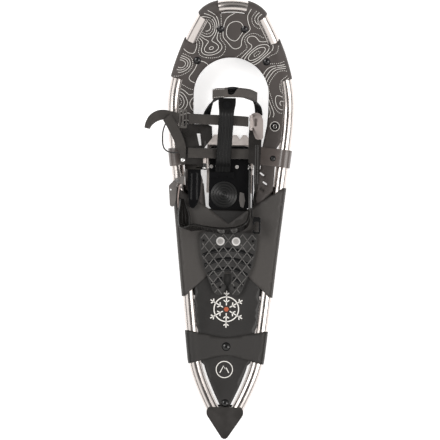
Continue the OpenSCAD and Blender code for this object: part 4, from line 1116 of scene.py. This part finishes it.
PAD_AT = (-9.4, -65.0)
PAD_R = 24.0
PAD_RINGS = 5


def make_pad():
    """Traction pad turned with rounded rings, each lower than the next one in."""
    radii = np.linspace(0.6, PAD_R - 0.5, 90)
    wave = 0.5 + 0.5 * np.cos(2 * math.pi * radii / (PAD_R / PAD_RINGS))
    rise = 0.45 + 0.85 * np.sqrt(wave)
    profile = [(0.05, rise[0]), *zip(radii, rise), (PAD_R, 0.3), (PAD_R, 0.0), (0.05, 0.0)]
    rings = np.array([[(PAD_AT[0] + r * math.cos(a), PAD_AT[1] + r * math.sin(a), BED_TOP + 0.03 + h)
                       for r, h in profile] for a in np.linspace(0, 2 * math.pi, 120, endpoint=False)])
    sweep("sole_pad_turned", to_frame(rings), PAD, "binding", "pad_rubber", "sole_pad", closed=True)


make_pad()

HEEL_TOP = BAND_TOP + 5.3
RIB_TOP = HEEL_TOP + 1.2
RIB_PITCH = 17.0
RIB_TURNS = (128, 52)
ARC_RADII = (38, 55, 72, 89)
ARC_Y = -252
ARC_T = 0.9
HEEL_SIDE = [(0, -132.5), (44, -132.5), (50, -135.5), (52, -141.5), (50.5, -160), (48.4, -173.6),
             (44.5, -192), (38.8, -206), (32, -222), (25.5, -238), (22, -243), (16.5, -245.5), (10, -244),
             (5, -238), (2.6, -231), (2.6, -225)]
HEEL_OPENINGS = ((-14, -148.5, 9.2), (14, -148.5, 9.2), (-44, -147.5, 5.4), (44, -147.5, 5.4),
                 (-13, -231, 3.2), (13, -231, 3.2))


def ribs_inside(line):
    """The parts of a line where a rib of the heel plate can run."""
    x, y = line.T
    ok = inside(np.array(mirrored(HEEL_SIDE)) * (0.955, 1), x, y) & (y < -135.0)
    ok &= (x / 8.6) ** 2 + ((y + 215.5) / 15.2) ** 2 > 1
    for at_x, at_y, far in HEEL_OPENINGS:
        ok &= np.hypot(x - at_x, y - at_y) > far
    return [part for part in kept_parts(line, ok) if len(part) > 2]


def make_heel_ribs():
    """Painted highlight along the tops of the heel plate's lattice, and the broad smooth arcs between."""
    run = np.arange(-130, 130, 1.2)[:, None]
    lattice = []
    for k in range(-9, 10):
        for a in np.radians(RIB_TURNS):
            ahead = np.array((math.cos(a), math.sin(a)))
            lattice += ribs_inside(np.array((k * RIB_PITCH, -190.0)) + run * ahead)
    arcs = []
    for radius in ARC_RADII:
        a = np.radians(np.arange(20, 161, 1.5))
        arcs += ribs_inside(np.stack((radius * np.cos(a), ARC_Y + radius * np.sin(a)), 1))
    # Lighter ribbons on the rib tops: a painted highlight.
    tops = ribbons(lattice, 1.5, level(RIB_TOP + 0.06))
    piece("heel_lattice_painted_highlight", *tops, HEEL_RIB_HIGHLIGHT, "frame", "heel_rubber")
    broad = ribbons(arcs, 6.5, level(HEEL_TOP + 0.5))
    thicken(piece("heel_arcs", *broad, GLOSS, "frame", "heel_rubber"), ARC_T)


make_heel_ribs()

CAD_FINISHES = (
    (HEEL_RUBBER, "heel_plate"), (WASHER, "heel_washers"), (SCREW, "heel_screws footbed_screws"),
    (RIVET, "deck_rivets tail_rivets hinge_rivets"), (EYELET_PAINT, "arm_eyelets"),
    (CLAW, "hanger_right hanger_left"), (STRAP, "tongue_boss"),
    (STEEL, "heel_nuts hanger_rivets pivot_axle wing_rivets cam_pin wing_hinge_pin tab_rivet"),
    (STEEL, "heel_pin_right heel_pin_left buckle_pin"))
for finish, nodes in CAD_FINISHES:
    for node in nodes.split():
        frame["nodes"][node].data.materials.clear()
        frame["nodes"][node].data.materials.append(finish)


# ---------------- stage
FLOOR_GLOW = 0.5
SKY_STRENGTH = 1.25
PAST_NOSE = 0.25  # of that strength
SKY_ENDS = (0.03, 0.05)
SKY_LEVELS = ((0.18, 0.05), (0.42, 0.9), (0.6, 1.0), (0.82, 0.95), (0.93, 0.12))


def make_stage():
    bpy.ops.mesh.primitive_plane_add(size=12, location=(0, 0, 0))
    floor = bpy.context.object
    floor.name = "floor"
    paper = Shader("paper", (0.93, 0.93, 0.93), 0.9)
    paper.bump(paper.noise(300.0, 2.0), 0.00002, 0.2)
    paper.bsdf.inputs["Emission Color"].default_value = (1, 1, 1, 1)
    paper.bsdf.inputs["Emission Strength"].default_value = FLOOR_GLOW
    floor.data.materials.append(paper.material)


def area_light(name, place_at, size, power, colour):
    """A soft light turned to the middle of the floor."""
    data = bpy.data.lights.new(name, "AREA")
    data.energy = power
    data.color = colour
    data.shape = "RECTANGLE"
    data.size, data.size_y = size
    made = bpy.data.objects.new(name, data)
    made.location = place_at
    made.rotation_euler = (-Vector(place_at)).to_track_quat("-Z", "Y").to_euler()
    bpy.context.scene.collection.objects.link(made)


def make_world():
    """Bright at mid height, dark overhead, at the horizon and past the nose: round metal shows its shape
    and flat black stays black."""
    world = bpy.data.worlds.new("studio")
    bpy.context.scene.world = world
    world.use_nodes = True
    sky = Nodes(world.node_tree)
    background = sky.tree.nodes["Background"]
    background.inputs["Color"].default_value = (1.0, 0.985, 0.97, 1)
    split = sky.node("ShaderNodeSeparateXYZ")
    sky.link(sky.node("ShaderNodeTexCoord").outputs["Generated"], split.inputs["Vector"])
    grade = sky.node("ShaderNodeValToRGB")
    sky.link(split.outputs["Z"], grade.inputs["Fac"])
    stops = grade.color_ramp.elements
    for stop, grey in zip(stops, SKY_ENDS):
        stop.color = (grey, grey, grey, 1)
    for height, grey in SKY_LEVELS:
        stops.new(height).color = (grey, grey, grey, 1)
    ahead = sky.ramp(split.outputs["Y"], 0.1, 0.7, SKY_STRENGTH, SKY_STRENGTH * PAST_NOSE)
    sky.link(sky.math("MULTIPLY", grade.outputs["Color"], ahead), background.inputs["Strength"])


make_stage()
make_world()
area_light("top_left", (-2.2, 1.2, 3.0), (2.0, 2.0), 60, (1, 0.99, 0.98))
area_light("top_right", (2.4, -0.6, 2.6), (1.2, 2.6), 45, (1, 0.97, 0.95))
bpy.context.scene.view_settings.view_transform = "Standard"
